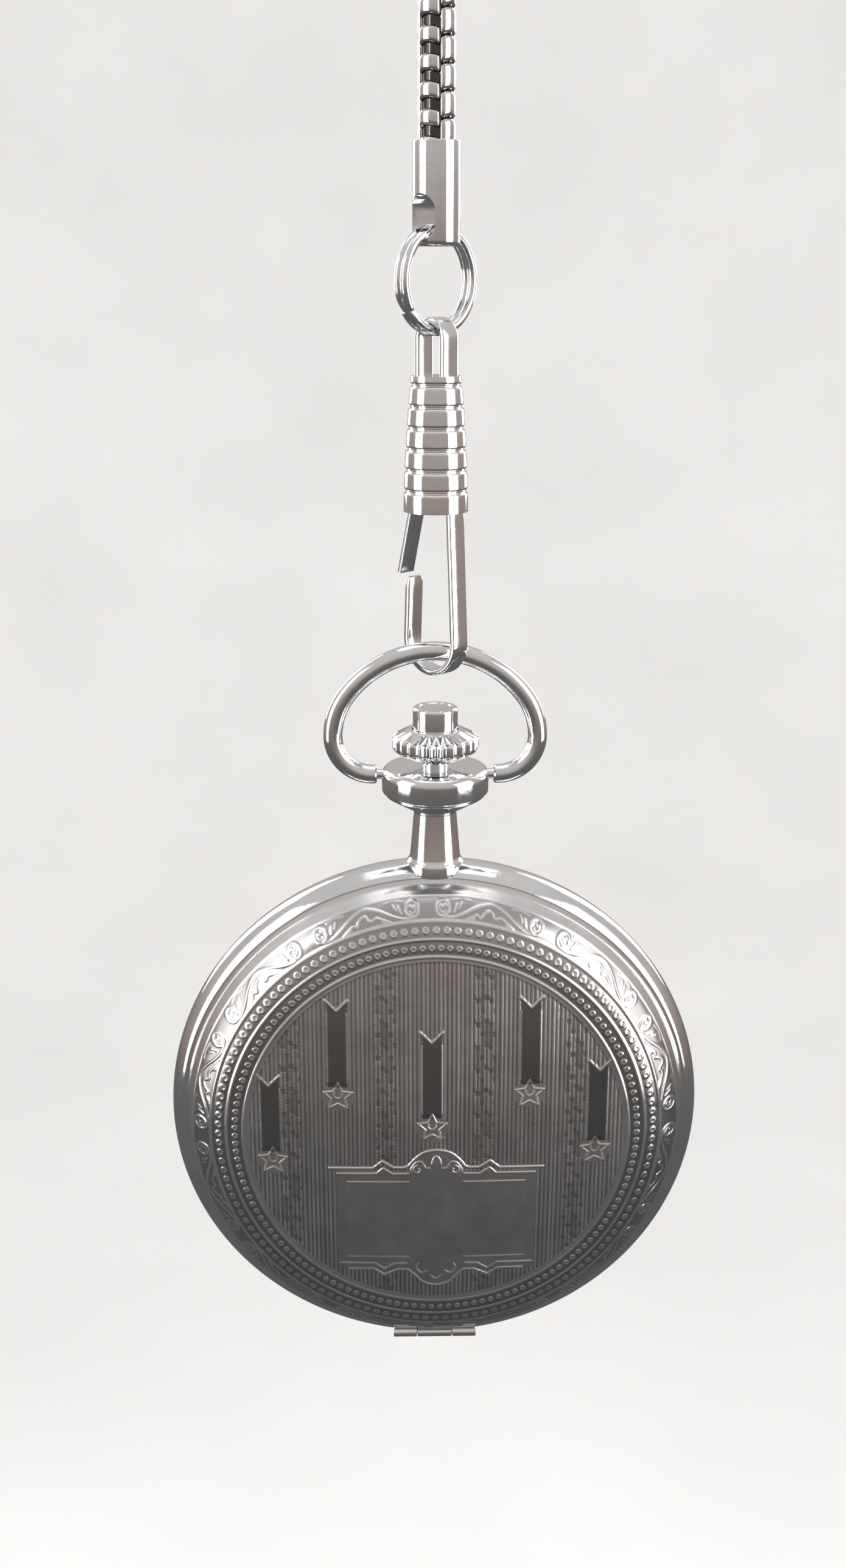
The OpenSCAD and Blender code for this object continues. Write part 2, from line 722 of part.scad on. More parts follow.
module train_bridge() {
    brass() in_case() difference() {
        translate([0, 0, bridge_back]) linear_extrude(bridge_front - bridge_back) difference() {
            union() {
                circle(5.2);
                for (at = bridge_posts) {
                    rotate([0, 0, atan2(at[1], at[0])]) translate([0, -1.1]) square([norm(at), 2.2]);
                    translate(at) circle(1.1);
                }
                translate([rotor_at[0], rotor_at[1]]) circle(1.6);
            }
            circle(seconds_r + slip, $fn = 32);
            for (at = [third_at, inter_at, rotor_at]) translate(at) circle(0.15 + slip, $fn = 32);
        }
    }
}

// Slotted cheese-head screws that hold the bridge to the main plate's pillars
module bridge_screws() {
    steel() in_case() for (at = bridge_posts)
        translate([at[0], at[1], bridge_back]) mirror([0, 0, 1]) difference() {
            cylinder(r = 0.75, h = 0.3, $fn = 32);
            translate([-1, -0.1, 0.15]) cube([2, 0.2, 1]);
        }
}

// Stem that the crown turns, with a blind socket for the tip of the button's rod
module setting_stem() {
    steel() on_stem() difference() {
        rod(stem_r, 9.7, 18.3);
        rod(tip_rod_r + slip, 15.8, 19);
    }
}

module sliding_pinion() {
    steel() on_stem() difference() {
        translate([0, 0, 9.95]) gear(12, 0.13, 0, 1.3);
        rod(stem_r, 9, 12);
    }
}

module setting_wheel() {
    phase = mesh_phase(setting_dir, minute_wheel_phase, minute_n, setting_n);
    steel() in_case() translate([setting_at[0], setting_at[1], 0.25]) difference() {
        gear(setting_n, cannon_module, phase, 0.17);
        rod(0.3 + slip, -1, 1);
    }
}

minute_wheel_phase = mesh_phase(minute_dir, minute_dir, cannon_n, minute_n);

module minute_wheel() {
    brass() in_case() translate([minute_at[0], minute_at[1], 0]) difference() {
        union() {
            translate([0, 0, 0.25]) gear(minute_n, cannon_module, minute_wheel_phase, 0.17);
            translate([0, 0, 0.4]) gear(minute_pinion_n, hour_module, minute_dir + 180, 0.42);
        }
        rod(0.3 + slip, -1, 2);
    }
}

module hour_wheel() {
    brass() in_case() difference() {
        union() {
            translate([0, 0, 0.56])
                gear(hour_n, hour_module, mesh_phase(minute_dir + 180, minute_dir + 180, minute_pinion_n, hour_n), 0.18);
            rod(hour_out_r, 0.56, 1.75);
        }
        rod(hour_in_r, 0, 3);
    }
}

module cannon_pinion() {
    steel() in_case() difference() {
        union() {
            translate([0, 0, 0.2]) gear(cannon_n, cannon_module, minute_dir, 0.26);
            rod(cannon_out_r, 0.15, 2.15);
        }
        rod(centre_out_r, -1, 3);
    }
}

module centre_wheel() {
    brass() in_case() difference() {
        union() {
            translate([0, 0, -1.45]) spoked_gear(centre_n, centre_module,
                mesh_phase(third_dir + 180, third_dir + 180, third_pinion_n, centre_n), 0.2);
            rod(centre_out_r, -1.45, 2.1);
        }
        rod(centre_in_r, -2, 3);
    }
}

// A wheel with four spokes between its rim and its hub
module spoked_gear(n, m, phase, h) {
    r = n * m / 2;
    linear_extrude(h) difference() {
        polygon(gear_outline(n, m, phase));
        difference() {
            circle(r - 0.5);
            circle(0.75);
            for (a = [45, 135]) rotate(a) square([2 * r, 0.4], center = true);
        }
    }
}

module third_wheel() {
    brass() in_case() translate([third_at[0], third_at[1], 0]) {
        translate([0, 0, -1.86]) spoked_gear(third_n, third_module,
            mesh_phase(third_dir, third_dir, fourth_pinion_n, third_n), 0.18);
        translate([0, 0, -1.7]) gear(third_pinion_n, centre_module, third_dir + 180, 0.5);
        rod(0.15, -3, -0.6);
    }
}

module fourth_wheel() {
    brass() in_case() {
        translate([0, 0, -2.25]) spoked_gear(fourth_n, fourth_module, inter_dir, 0.18);
        translate([0, 0, -2.1]) gear(fourth_pinion_n, third_module, third_dir, 0.5);
        rod(seconds_r, -3, 2.5);
    }
}

module intermediate_wheel() {
    brass() in_case() translate([inter_at[0], inter_at[1], 0]) {
        translate([0, 0, -2.55]) spoked_gear(inter_n, rotor_module, rotor_dir, 0.16);
        translate([0, 0, -2.4]) gear(inter_pinion_n, fourth_module,
            mesh_phase(inter_dir, inter_dir, fourth_n, inter_pinion_n), 0.45);
        rod(0.15, -3, -0.6);
    }
}

module rotor() {
    color([0.35, 0.35, 0.38]) in_case() translate([rotor_at[0], rotor_at[1], 0]) {
        translate([0, 0, -2.62]) gear(rotor_pinion_n, rotor_module,
            mesh_phase(rotor_dir, rotor_dir, inter_n, rotor_pinion_n), 0.5);
        rod(0.9, -2.15, -1.15);
        rod(0.15, -3, -0.6);
    }
}

// Soft-iron plate with the rotor's hole and two arms that reach the coil's core
module stator() {
    steel() in_case() translate([0, 0, -1.85]) linear_extrude(0.3) difference() {
        union() {
            translate(rotor_at) circle(1.8);
            translate([rotor_at[0], rotor_at[1] + 0.3]) square([coil_x + 0.7 - rotor_at[0], 1.5]);
            translate([rotor_at[0] + 0.35, -7.3]) square([1.4, 7.3 + rotor_at[1]]);
            translate([rotor_at[0] + 0.35, -7.3]) square([coil_x + 0.35 - rotor_at[0], 1.6]);
        }
        translate(rotor_at) circle(1.15);
        for (at = core_ends) translate(at) circle(0.3, $fn = 32);
    }
}

core_ends = [[coil_x, rotor_at[1] + 1.05], [coil_x, -6.5]];

module coil_core() {
    steel() in_case() translate([coil_x, 0, -2.15]) linear_extrude(0.3) difference() {
        translate([-0.5, -7.3]) square([1, 7.3 + rotor_at[1] + 1.8]);
        for (at = core_ends) translate([0, at[1]]) circle(0.3, $fn = 32);
    }
}

module coil_winding() {
    color([0.72, 0.42, 0.2]) in_case() difference() {
        translate([coil_x, -5.2, -2]) rotate([-90, 0, 0]) cylinder(r = 1, h = 8.2);
        translate([coil_x - 0.5, -8, -2.15]) cube([1, 16, 0.3]);
    }
}

module core_screws() {
    steel() in_case() for (at = core_ends)
        translate([at[0], at[1], 0]) difference() {
            union() {
                rod(0.3, -2.15, plate_back, 32);
                rod(0.6, -2.4, -2.15, 32);
            }
            translate([-1, -0.1, -2.5]) cube([2, 0.2, 0.2]);
        }
}

module circuit_board() {
    color([0.1, 0.38, 0.24]) in_case() translate([0, 0, -1.3]) linear_extrude(0.25)
        polygon([
            [-14, -1.5], [-7.8, -1.5], [-7.8, 3.6], [-4.4, 5.2], [-4.4, 12], [-8.5, 12], [-13, 7.4]
        ]);
}

module circuit_chip() {
    color([0.08, 0.08, 0.09]) in_case() translate([-12, 1, -2.1]) cube([3, 3, 0.8]);
}

module quartz_can() {
    color([0.8, 0.8, 0.78]) in_case() translate([-9.5, 5.6, -2.2]) rotate([0, 0, 45]) rotate([0, 90, 0])
        cylinder(r = 0.8, h = 5);
}

module battery() {
    steel() in_case() translate([battery_at[0], battery_at[1], 0]) rotate_extrude($fn = smooth) polygon([
        [0, -1], [battery_r - 0.5, -1], [battery_r - 0.5, -1.4], [battery_r, -1.5],
        [battery_r, -3.3], [battery_r - 0.15, -3.45], [0, -3.45]
    ]);
}

// Spring strap over the battery, with a foot beside it on the main plate
module battery_strap() {
    steel() in_case() translate([battery_at[0], battery_at[1], 0]) rotate([0, 0, 50]) {
        translate([-battery_r + 1, -0.9, -3.65]) cube([2 * battery_r, 1.8, 0.18]);
        translate([battery_r + 0.7, -0.9, -3.65]) cube([0.3, 1.8, 3.65 + plate_back]);
    }
}

upper_clip_wire();
upper_clip_sleeve();
upper_clip_gate();
upper_split_ring();
upper_end_cap();
snake_chain();
lower_end_cap();
lower_split_ring();
lower_clip_wire();
lower_clip_sleeve();
lower_clip_gate();
bow();
pendant();
case_band();
front_lid();
lid_hinge_pin();
lid_spring();
lid_catch();
rear_cover();
crown_tube();
crown();
push_button();
button_rod();
button_spring();
bezel();
crystal_gasket();
crystal();
dial();
hour_hand();
minute_hand();
seconds_hand();
movement_ring();
main_plate();
train_bridge();
bridge_screws();
setting_stem();
sliding_pinion();
setting_wheel();
minute_wheel();
hour_wheel();
cannon_pinion();
centre_wheel();
third_wheel();
fourth_wheel();
intermediate_wheel();
rotor();
stator();
coil_core();
coil_winding();
core_screws();
circuit_board();
circuit_chip();
quartz_can();
battery();
battery_strap();
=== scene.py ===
import json
import math

import bmesh
import bpy
import numpy as np
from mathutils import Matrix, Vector

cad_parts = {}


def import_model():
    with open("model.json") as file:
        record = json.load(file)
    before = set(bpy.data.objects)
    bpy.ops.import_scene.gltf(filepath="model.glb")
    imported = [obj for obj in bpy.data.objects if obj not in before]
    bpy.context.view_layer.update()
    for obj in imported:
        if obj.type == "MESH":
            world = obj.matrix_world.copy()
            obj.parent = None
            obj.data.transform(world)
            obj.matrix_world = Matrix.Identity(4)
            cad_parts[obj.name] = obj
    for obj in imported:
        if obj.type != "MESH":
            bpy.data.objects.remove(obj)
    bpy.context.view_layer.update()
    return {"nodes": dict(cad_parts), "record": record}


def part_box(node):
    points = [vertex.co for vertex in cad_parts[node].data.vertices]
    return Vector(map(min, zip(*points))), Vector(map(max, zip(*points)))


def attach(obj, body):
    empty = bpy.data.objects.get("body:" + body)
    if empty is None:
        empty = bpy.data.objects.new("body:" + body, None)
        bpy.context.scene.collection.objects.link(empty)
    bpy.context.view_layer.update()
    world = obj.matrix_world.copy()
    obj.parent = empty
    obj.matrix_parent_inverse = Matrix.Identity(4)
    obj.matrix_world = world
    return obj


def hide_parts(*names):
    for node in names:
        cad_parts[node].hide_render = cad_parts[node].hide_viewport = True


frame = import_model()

MM = 0.001
SCENE = bpy.context.scene

# ---------------------------------------------------------------- places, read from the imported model


def mid(node):
    """The middle of a node's box, in metres."""
    low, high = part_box(node)
    return (low + high) / 2


# Sizes are in millimetres and angles in degrees, unless a comment says otherwise.
BOW_WIRE_R = 0.8
HOOK_R = 2.62
STRIP_T, STRIP_W = 0.5, 1.7
CASE_Z = mid("case_band").z / MM
PIN_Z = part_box("bow")[0].z / MM + BOW_WIRE_R
HOOK_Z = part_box("lower_clip_wire")[0].z / MM + (HOOK_R + STRIP_T / 2)
LOWER_RING_Z = mid("lower_split_ring").z / MM
UPPER_RING_Z = mid("upper_split_ring").z / MM
LOWER_CAP_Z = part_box("lower_end_cap")[0].z / MM
UPPER_CAP_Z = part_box("upper_end_cap")[1].z / MM
CHAIN_LOW, CHAIN_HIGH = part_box("snake_chain")[0].z / MM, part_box("snake_chain")[1].z / MM

# ---------------------------------------------------------------- camera, at the viewing angle of the picture

IMAGE_H = 2576                          # height of the picture
FOCAL = 2675                            # focal length, in the same unit
SENSOR = 36
CLIP_START = 0.005                      # metres
CAMERA_AT = (-3.45, -131.78, 71.57)     # from the middle of the case
CAMERA_LOOK = (0.0175, 0.9539, -0.2995)
cam_data = bpy.data.cameras.new("camera")
cam_data.sensor_fit = "AUTO"
cam_data.sensor_width = SENSOR
cam_data.lens = SENSOR * FOCAL / IMAGE_H
cam_data.clip_start = CLIP_START
camera = bpy.data.objects.new("camera", cam_data)
SCENE.collection.objects.link(camera)
camera.location = Vector((CAMERA_AT[0], CAMERA_AT[1], CAMERA_AT[2] + CASE_Z)) * MM
camera.rotation_mode = "QUATERNION"
camera.rotation_quaternion = Vector(CAMERA_LOOK).to_track_quat("-Z", "Y")
SCENE.camera = camera

# ---------------------------------------------------------------- materials

BROAD_SCALE, GLOSS_SCALE, GRAIN_SCALE = 170, 420, 1800      # noise scales of colour, gloss and fine relief
SATIN = 0.22                                                # roughness that a full satin mark adds
# painted shade and painted dark reflection: the lid and chain are darkened toward this colour where their tone
# mark is low
PAINTED_SHADE_COLOUR = (0.1, 0.085, 0.08)                                # colour where the tone mark is 0


def material(name):
    """A new material with its nodes, links and shader."""
    m = bpy.data.materials.new(name)
    m.use_nodes = True
    shader = m.node_tree.nodes["Principled BSDF"]
    return m, m.node_tree.nodes, m.node_tree.links, shader


def noise(nodes, links, coord, scale, detail=3.0, rough=0.5, stretch=None):
    n = nodes.new("ShaderNodeTexNoise")
    n.inputs["Scale"].default_value = scale
    n.inputs["Detail"].default_value = detail
    n.inputs["Roughness"].default_value = rough
    if stretch:
        mapping = nodes.new("ShaderNodeMapping")
        mapping.inputs["Scale"].default_value = stretch
        links.new(coord, mapping.inputs["Vector"])
        coord = mapping.outputs["Vector"]
    links.new(coord, n.inputs["Vector"])
    return n.outputs["Fac"]


def spread(nodes, links, value, low, high, at0=0.3, at1=0.7):
    """The value stretched from at0..at1 to low..high."""
    r = nodes.new("ShaderNodeMapRange")
    r.inputs["From Min"].default_value = at0
    r.inputs["From Max"].default_value = at1
    r.inputs["To Min"].default_value = low
    r.inputs["To Max"].default_value = high
    links.new(value, r.inputs["Value"])
    return r.outputs["Result"]


def ramp(nodes, links, value, stops):
    r = nodes.new("ShaderNodeValToRGB")
    while len(r.color_ramp.elements) < len(stops):
        r.color_ramp.elements.new(0.5)
    for e, (p, c) in zip(r.color_ramp.elements, stops):
        e.position, e.color = p, (*c, 1)
    links.new(value, r.inputs["Fac"])
    return r.outputs["Color"]


def mark(nodes, label):
    """A number that the mesh carries at each of its points."""
    n = nodes.new("ShaderNodeAttribute")
    n.attribute_name = label
    return n.outputs["Fac"]


def blend(nodes, links, amount, colour, other):
    """The other colour where the amount is 0, the piece's own colour where it is 1."""
    mix = nodes.new("ShaderNodeMix")
    mix.data_type = "RGBA"
    links.new(amount, mix.inputs["Factor"])
    mix.inputs["A"].default_value = (*other, 1)
    links.new(colour, mix.inputs["B"])
    return mix.outputs["Result"]


def surface(name, low, high, rough, bump, metallic=1.0, bump_mm=0.02, stretch=None, hollow_shade=None):
    """A finish whose colour, gloss and fine relief all vary over the piece.

    With a colour for painted shade given, the mesh's marks also darken its low parts as painted shade, darken it
    by its tone mark as painted shade and dark reflection, and make it satin.
    """
    m, nodes, links, shader = material(name)
    coord = nodes.new("ShaderNodeTexCoord").outputs["Object"]
    broad = noise(nodes, links, coord, BROAD_SCALE, 4.0, 0.6)
    colour = ramp(nodes, links, broad, [(0.3, low), (0.7, high)])
    if hollow_shade:
        # painted shade: low relief is darkened toward the hollow colour, and a low tone mark toward the painted
        # shade colour
        relief = spread(nodes, links, mark(nodes, "relief"), 0, 1, 0.05, 0.6)
        colour = blend(nodes, links, relief, colour, hollow_shade)
        colour = blend(nodes, links, mark(nodes, "tone"), colour, PAINTED_SHADE_COLOUR)
    links.new(colour, shader.inputs["Base Color"])
    shader.inputs["Metallic"].default_value = metallic
    gloss = noise(nodes, links, coord, GLOSS_SCALE, 5.0, 0.65, stretch)
    matt = spread(nodes, links, gloss, rough[0], rough[1])
    if hollow_shade:
        extra = nodes.new("ShaderNodeMath")
        extra.operation = "MULTIPLY_ADD"
        extra.inputs[1].default_value = SATIN
        links.new(mark(nodes, "satin"), extra.inputs[0])
        links.new(matt, extra.inputs[2])
        matt = extra.outputs[0]
    links.new(matt, shader.inputs["Roughness"])
    fine = noise(nodes, links, coord, GRAIN_SCALE, 3.0, 0.6, stretch)
    b = nodes.new("ShaderNodeBump")
    b.inputs["Strength"].default_value = bump
    b.inputs["Distance"].default_value = bump_mm * MM
    links.new(fine, b.inputs["Height"])
    links.new(b.outputs["Normal"], shader.inputs["Normal"])
    return m


MAT = {
    "chrome": surface("chrome", (0.78, 0.78, 0.79), (0.9, 0.9, 0.9), (0.045, 0.12), bump=0.25),
    # the lid and chain carry painted shade in their hollows and painted dark reflection where their tone mark is
    # low
    "lid": surface("lid_chrome", (0.74, 0.73, 0.73), (0.86, 0.85, 0.85), (0.08, 0.17), bump=0.3,
                   hollow_shade=(0.2, 0.185, 0.175)),
    "chain": surface("chain_chrome", (0.7, 0.7, 0.71), (0.87, 0.86, 0.85), (0.07, 0.17), bump=0.3,
                     hollow_shade=(0.13, 0.12, 0.1)),
    "steel": surface("satin_steel", (0.6, 0.61, 0.63), (0.74, 0.74, 0.76), (0.16, 0.28),
                     bump=0.15, bump_mm=0.01),
    "brass": surface("brass", (0.73, 0.55, 0.25), (0.86, 0.7, 0.38), (0.2, 0.33), bump=0.3, stretch=(1, 14, 1)),
    "dial": surface("dial_lacquer", (0.86, 0.85, 0.81), (0.93, 0.92, 0.89), (0.25, 0.36),
                    bump=0.12, metallic=0),
    "ink": surface("dial_ink", (0.02, 0.02, 0.025), (0.05, 0.05, 0.055), (0.3, 0.45), bump=0.1, metallic=0),
    "blued": surface("blued_steel", (0.02, 0.03, 0.12), (0.05, 0.08, 0.24), (0.14, 0.26),
                     bump=0.1, metallic=0.9),
    "black": surface("black_plastic", (0.02, 0.02, 0.023), (0.045, 0.045, 0.05), (0.4, 0.6),
                     bump=0.3, metallic=0),
    "white": surface("white_plastic", (0.76, 0.76, 0.72), (0.87, 0.87, 0.84), (0.3, 0.42),
                     bump=0.25, metallic=0),
    "copper": surface("copper_wire", (0.5, 0.2, 0.08), (0.72, 0.36, 0.16), (0.22, 0.36), bump=0.8, bump_mm=0.05,
                      stretch=(1, 1, 22)),
    "board": surface("green_board", (0.02, 0.14, 0.07), (0.05, 0.24, 0.12), (0.3, 0.45), bump=0.3, metallic=0),
}


def glass():
    m, nodes, links, shader = material("mineral_glass")
    coord = nodes.new("ShaderNodeTexCoord").outputs["Object"]
    shader.inputs["Transmission Weight"].default_value = 1.0
    shader.inputs["IOR"].default_value = 1.45
    tone = noise(nodes, links, coord, 120, 2.0)
    tint = ramp(nodes, links, tone, [(0.3, (0.95, 0.98, 0.98)), (0.7, (1, 1, 1))])
    links.new(tint, shader.inputs["Base Color"])
    wipe = noise(nodes, links, coord, 600)
    links.new(spread(nodes, links, wipe, 0.0, 0.02), shader.inputs["Roughness"])
    return m


MAT["glass"] = glass()

# ---------------------------------------------------------------- building meshes


def obj(name, verts, faces, mat, body, replaces=(), sharp=38, marks=None):
    """A piece from vertices in millimetres and faces (a list, or an array of quads), riding on a body."""
    mesh = bpy.data.meshes.new(name)
    verts = np.asarray(verts, float) * MM
    if isinstance(faces, np.ndarray):
        n = len(faces)
        mesh.vertices.add(len(verts))
        mesh.vertices.foreach_set("co", verts.ravel())
        mesh.loops.add(n * faces.shape[1])
        mesh.polygons.add(n)
        mesh.loops.foreach_set("vertex_index", faces.ravel())
        mesh.polygons.foreach_set("loop_start", np.arange(n) * faces.shape[1])
    else:
        mesh.from_pydata([tuple(v) for v in verts], [], faces)
    for label, values in (marks or {}).items():
        a = mesh.attributes.new(label, "FLOAT", "POINT")
        a.data.foreach_set("value", np.asarray(values, np.float32))
    mesh.update(calc_edges=True)
    mesh.validate()
    mesh.shade_smooth()
    mesh.set_sharp_from_angle(angle=math.radians(sharp))
    o = bpy.data.objects.new(name, mesh)
    SCENE.collection.objects.link(o)
    mesh.materials.append(MAT[mat])
    if body:
        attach(o, body)
        if replaces:
            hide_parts(*replaces)
    return o


def grid_faces(rows, cols, wrap_rows=False):
    """Quads between rows of points that each close on themselves."""
    r = np.arange(rows if wrap_rows else rows - 1)
    c = np.arange(cols)
    R, C = np.meshgrid(r, c, indexing="ij")
    a = R * cols + C
    b = R * cols + (C + 1) % cols
    d = ((R + 1) % rows) * cols + C
    e = ((R + 1) % rows) * cols + (C + 1) % cols
    return np.stack([a, b, e, d], -1).reshape(-1, 4)


def rounded(points, radii, steps=4):
    """An outline with every corner but its two ends rounded, by one radius for each point."""
    out = []
    n = len(points)
    for k, p in enumerate(points):
        p = np.array(p, float)
        if k in (0, n - 1) or radii[k] == 0:
            out.append(p)
            continue
        a, b = np.array(points[k - 1], float) - p, np.array(points[k + 1], float) - p
        la, lb = np.linalg.norm(a), np.linalg.norm(b)
        cut = min(radii[k], la * 0.49, lb * 0.49)
        a, b = a / la * cut, b / lb * cut
        for t in np.linspace(0, 1, steps + 1):
            out.append((1 - t) ** 2 * (p + a) + 2 * t * (1 - t) * p + t * t * (p + b))
    return np.array(out)


def turned(name, profile, mat, body, replaces=(), place="up", segs=192, sharp=38):
    """A solid of revolution, about an upright axis or, with place "front", about the case's own.

    The profile runs from axis to axis, or closes on itself when it never meets the axis.
    """
    profile = np.asarray(profile, float)
    on_axis = profile[0][0] < 1e-6 and profile[-1][0] < 1e-6
    ring = profile[1:-1] if on_axis else profile
    a = np.linspace(0, 2 * math.pi, segs, endpoint=False)
    r, h = ring[:, 0:1], ring[:, 1:2]
    v = np.stack([r * np.cos(a), r * np.sin(a), h + 0 * a], -1).reshape(-1, 3)
    if on_axis:
        faces = [tuple(int(i) for i in f) for f in grid_faces(len(ring), segs)]
        first, last = len(v), len(v) + 1
        v = np.vstack([v, [[0, 0, profile[0][1]], [0, 0, profile[-1][1]]]])
        faces += [(first, (k + 1) % segs, k) for k in range(segs)]
        top = (len(ring) - 1) * segs
        faces += [(last, top + k, top + (k + 1) % segs) for k in range(segs)]
    else:
        faces = grid_faces(len(ring), segs, wrap_rows=True)
    if place == "front":
        v = np.stack([v[:, 0], -v[:, 2], v[:, 1] + CASE_Z], -1)
    return fix(obj(name, v, faces, mat, body, replaces, sharp))


def fix(o):
    """Turns the faces outwards."""
    bm = bmesh.new()
    bm.from_mesh(o.data)
    bmesh.ops.recalc_face_normals(bm, faces=bm.faces)
    bm.to_mesh(o.data)
    bm.free()
    return o


def sweep(name, path, section, mat, body, side, replaces=(), scale=None):
    """Sweeps a closed section (a, b) along an open path; side is the fixed direction that b runs along."""
    path = np.asarray(path, float)
    section = np.asarray(section, float)
    n = len(path)
    tangent = np.gradient(path, axis=0)
    tangent /= np.linalg.norm(tangent, axis=1)[:, None]
    side = np.asarray(side, float)
    first = np.cross(side, tangent)
    first /= np.linalg.norm(first, axis=1)[:, None]
    second = np.cross(tangent, first)
    s = np.ones(n) if scale is None else np.asarray(scale, float)
    v = (path[:, None] + first[:, None] * section[None, :, 0:1] * s[:, None, None]
         + second[:, None] * section[None, :, 1:2] * s[:, None, None]).reshape(-1, 3)
    m = len(section)
    faces = [tuple(int(i) for i in f) for f in grid_faces(n, m)]
    faces += [tuple(range(m)), tuple(range((n - 1) * m, n * m))]
    return fix(obj(name, v, faces, mat, body, replaces))


def circle(r, n):
    a = np.linspace(0, 2 * math.pi, n, endpoint=False)
    return np.stack([r * np.cos(a), r * np.sin(a)], -1)


def round_rect(w, h, r, steps=4):
    out = []
    for cx, cy, a0 in ((w / 2 - r, h / 2 - r, 0), (-w / 2 + r, h / 2 - r, 90), (-w / 2 + r, -h / 2 + r, 180),
                       (w / 2 - r, -h / 2 + r, 270)):
        for t in np.linspace(0, 90, steps + 1):
            a = math.radians(a0 + t)
            out.append((cx + r * math.cos(a), cy + r * math.sin(a)))
    return np.array(out)


def arc(cx, cz, r, a0, a1, n):
    """Points on a circle from angle a0 to a1."""
    a = np.radians(np.linspace(a0, a1, n))
    return np.stack([cx + r * np.cos(a), cz + r * np.sin(a)], -1)


MERGE = 0.02     # points closer than this are one


def joined(*parts):
    """Points of several pieces of path in a row, with doubled points dropped."""
    out = [parts[0][0]]
    for part in parts:
        for p in part:
            if np.linalg.norm(np.array(p) - out[-1]) > MERGE:
                out.append(np.array(p))
    return np.array(out)


def cylinder_between(name, a, b, r, body, segs=32, bevel=0.06):
    """A chrome pin from a to b with bevelled ends."""
    a, b = np.array(a, float), np.array(b, float)
    d = (b - a) / np.linalg.norm(b - a)
    side = np.array([0, 1, 0]) if abs(d[1]) < 0.9 else np.array([1, 0, 0])
    n = np.linalg.norm(b - a)
    along = [0, bevel, n - bevel, n]
    path = np.array([a + d * t for t in along])
    return sweep(name, path, circle(r, segs), "chrome", body, side,
                 scale=[1 - bevel / r, 1, 1, 1 - bevel / r])


def block(name, low, high, body):
    """A chrome box in the case's own frame: x right, y up, z towards the front."""
    (x0, y0, z0), (x1, y1, z1) = low, high
    v = [(x, -z, y + CASE_Z) for x in (x0, x1) for y in (y0, y1) for z in (z0, z1)]
    f = [(0, 1, 3, 2), (4, 6, 7, 5), (0, 4, 5, 1), (2, 3, 7, 6), (0, 2, 6, 4), (1, 5, 7, 3)]
    return fix(obj(name, v, f, "chrome", body))


# ---------------------------------------------------------------- chain, the cord that holds it all

CHAIN_D = 2.9
LINK_PITCH = 1.9
WAIST = 0.76                 # the chain's radius between links, as a share of its full radius
ROW_STEP, CHAIN_COLS = 0.055, 112
FIRST_COLUMN = -80
WIDE_LINK, NARROW_LINK = 0.96, 0.62     # lengths of a link, as shares of its pitch
CORD_POINTS = 33


def chain():
    """Links in four upright columns, every second column half a link lower, with wide gaps in two of them."""
    rows = int((CHAIN_HIGH - CHAIN_LOW) / ROW_STEP)
    cols = CHAIN_COLS
    z = np.linspace(CHAIN_LOW, CHAIN_HIGH, rows)
    a = np.linspace(0, 2 * math.pi, cols, endpoint=False)
    Z, A = np.meshgrid(z, a, indexing="ij")
    quarter = ((A - math.radians(FIRST_COLUMN)) / (math.pi / 2)) % 4
    column = np.floor(quarter)
    across = 2 * (quarter - column) - 1
    narrow = column % 2
    phase = 2 * ((Z / LINK_PITCH + 0.5 * narrow + 0.1 * across * across) % 1.0) - 1
    width = np.where(narrow == 1, NARROW_LINK, WIDE_LINK)
    lump = np.clip(1 - np.abs(phase / width) ** 5, 0, 1) ** 0.5
    side = np.clip(1 - np.abs(across) ** 8, 0, 1) ** 0.5
    bulge = lump * side
    R = CHAIN_D / 2 * (WAIST + (1 - WAIST) * bulge)
    R[0] = R[-1] = CHAIN_D / 2 * WAIST
    v = np.stack([R * np.cos(A), R * np.sin(A), Z], -1).reshape(-1, 3)
    faces = [tuple(int(i) for i in f) for f in grid_faces(rows, cols)]
    faces += [tuple(range(cols)), tuple(range((rows - 1) * cols, rows * cols))]
    flat = np.clip(bulge.ravel(), 0, 1)
    # painted shade: the chain is darkened between its links through its relief and tone marks
    o = obj("snake_chain_links", v, faces, "chain", "chain", ["snake_chain"], 60,
            marks={"relief": flat, "tone": 0.3 + 0.7 * flat, "satin": 0 * flat})
    return fix(o)


snake = chain()

# ---------------------------------------------------------------- end caps, split rings and clips

UP = np.array([0.0, 0.0, 1.0])


def facing(degrees):
    """The directions across and through a piece that is turned away from facing the front."""
    t = math.radians(-degrees)
    return np.array([math.cos(t), math.sin(t), 0.0]), np.array([-math.sin(t), math.cos(t), 0.0])


LOWER, UPPER = facing(45), facing(0)


def cut(o, tool):
    """Takes the tool's solid out of a piece."""
    mod = o.modifiers.new("cut", "BOOLEAN")
    mod.operation, mod.solver, mod.object = "DIFFERENCE", "EXACT", tool
    bpy.context.view_layer.update()
    mesh = bpy.data.meshes.new_from_object(o.evaluated_get(bpy.context.evaluated_depsgraph_get()))
    o.modifiers.clear()
    o.data = mesh
    mesh.set_sharp_from_angle(angle=math.radians(30))
    bpy.data.objects.remove(tool)


CAP_R, CAP_H, CAP_BORE_R, CAP_FLOOR = 1.85, 7.6, 1.5, 6.4
CAP_SLOT_R, CAP_SLOT = 1.2, (1.59, 2.59)     # half width, and the middles of its two round ends
SLOT_STEPS, CUTTER = 48, 4


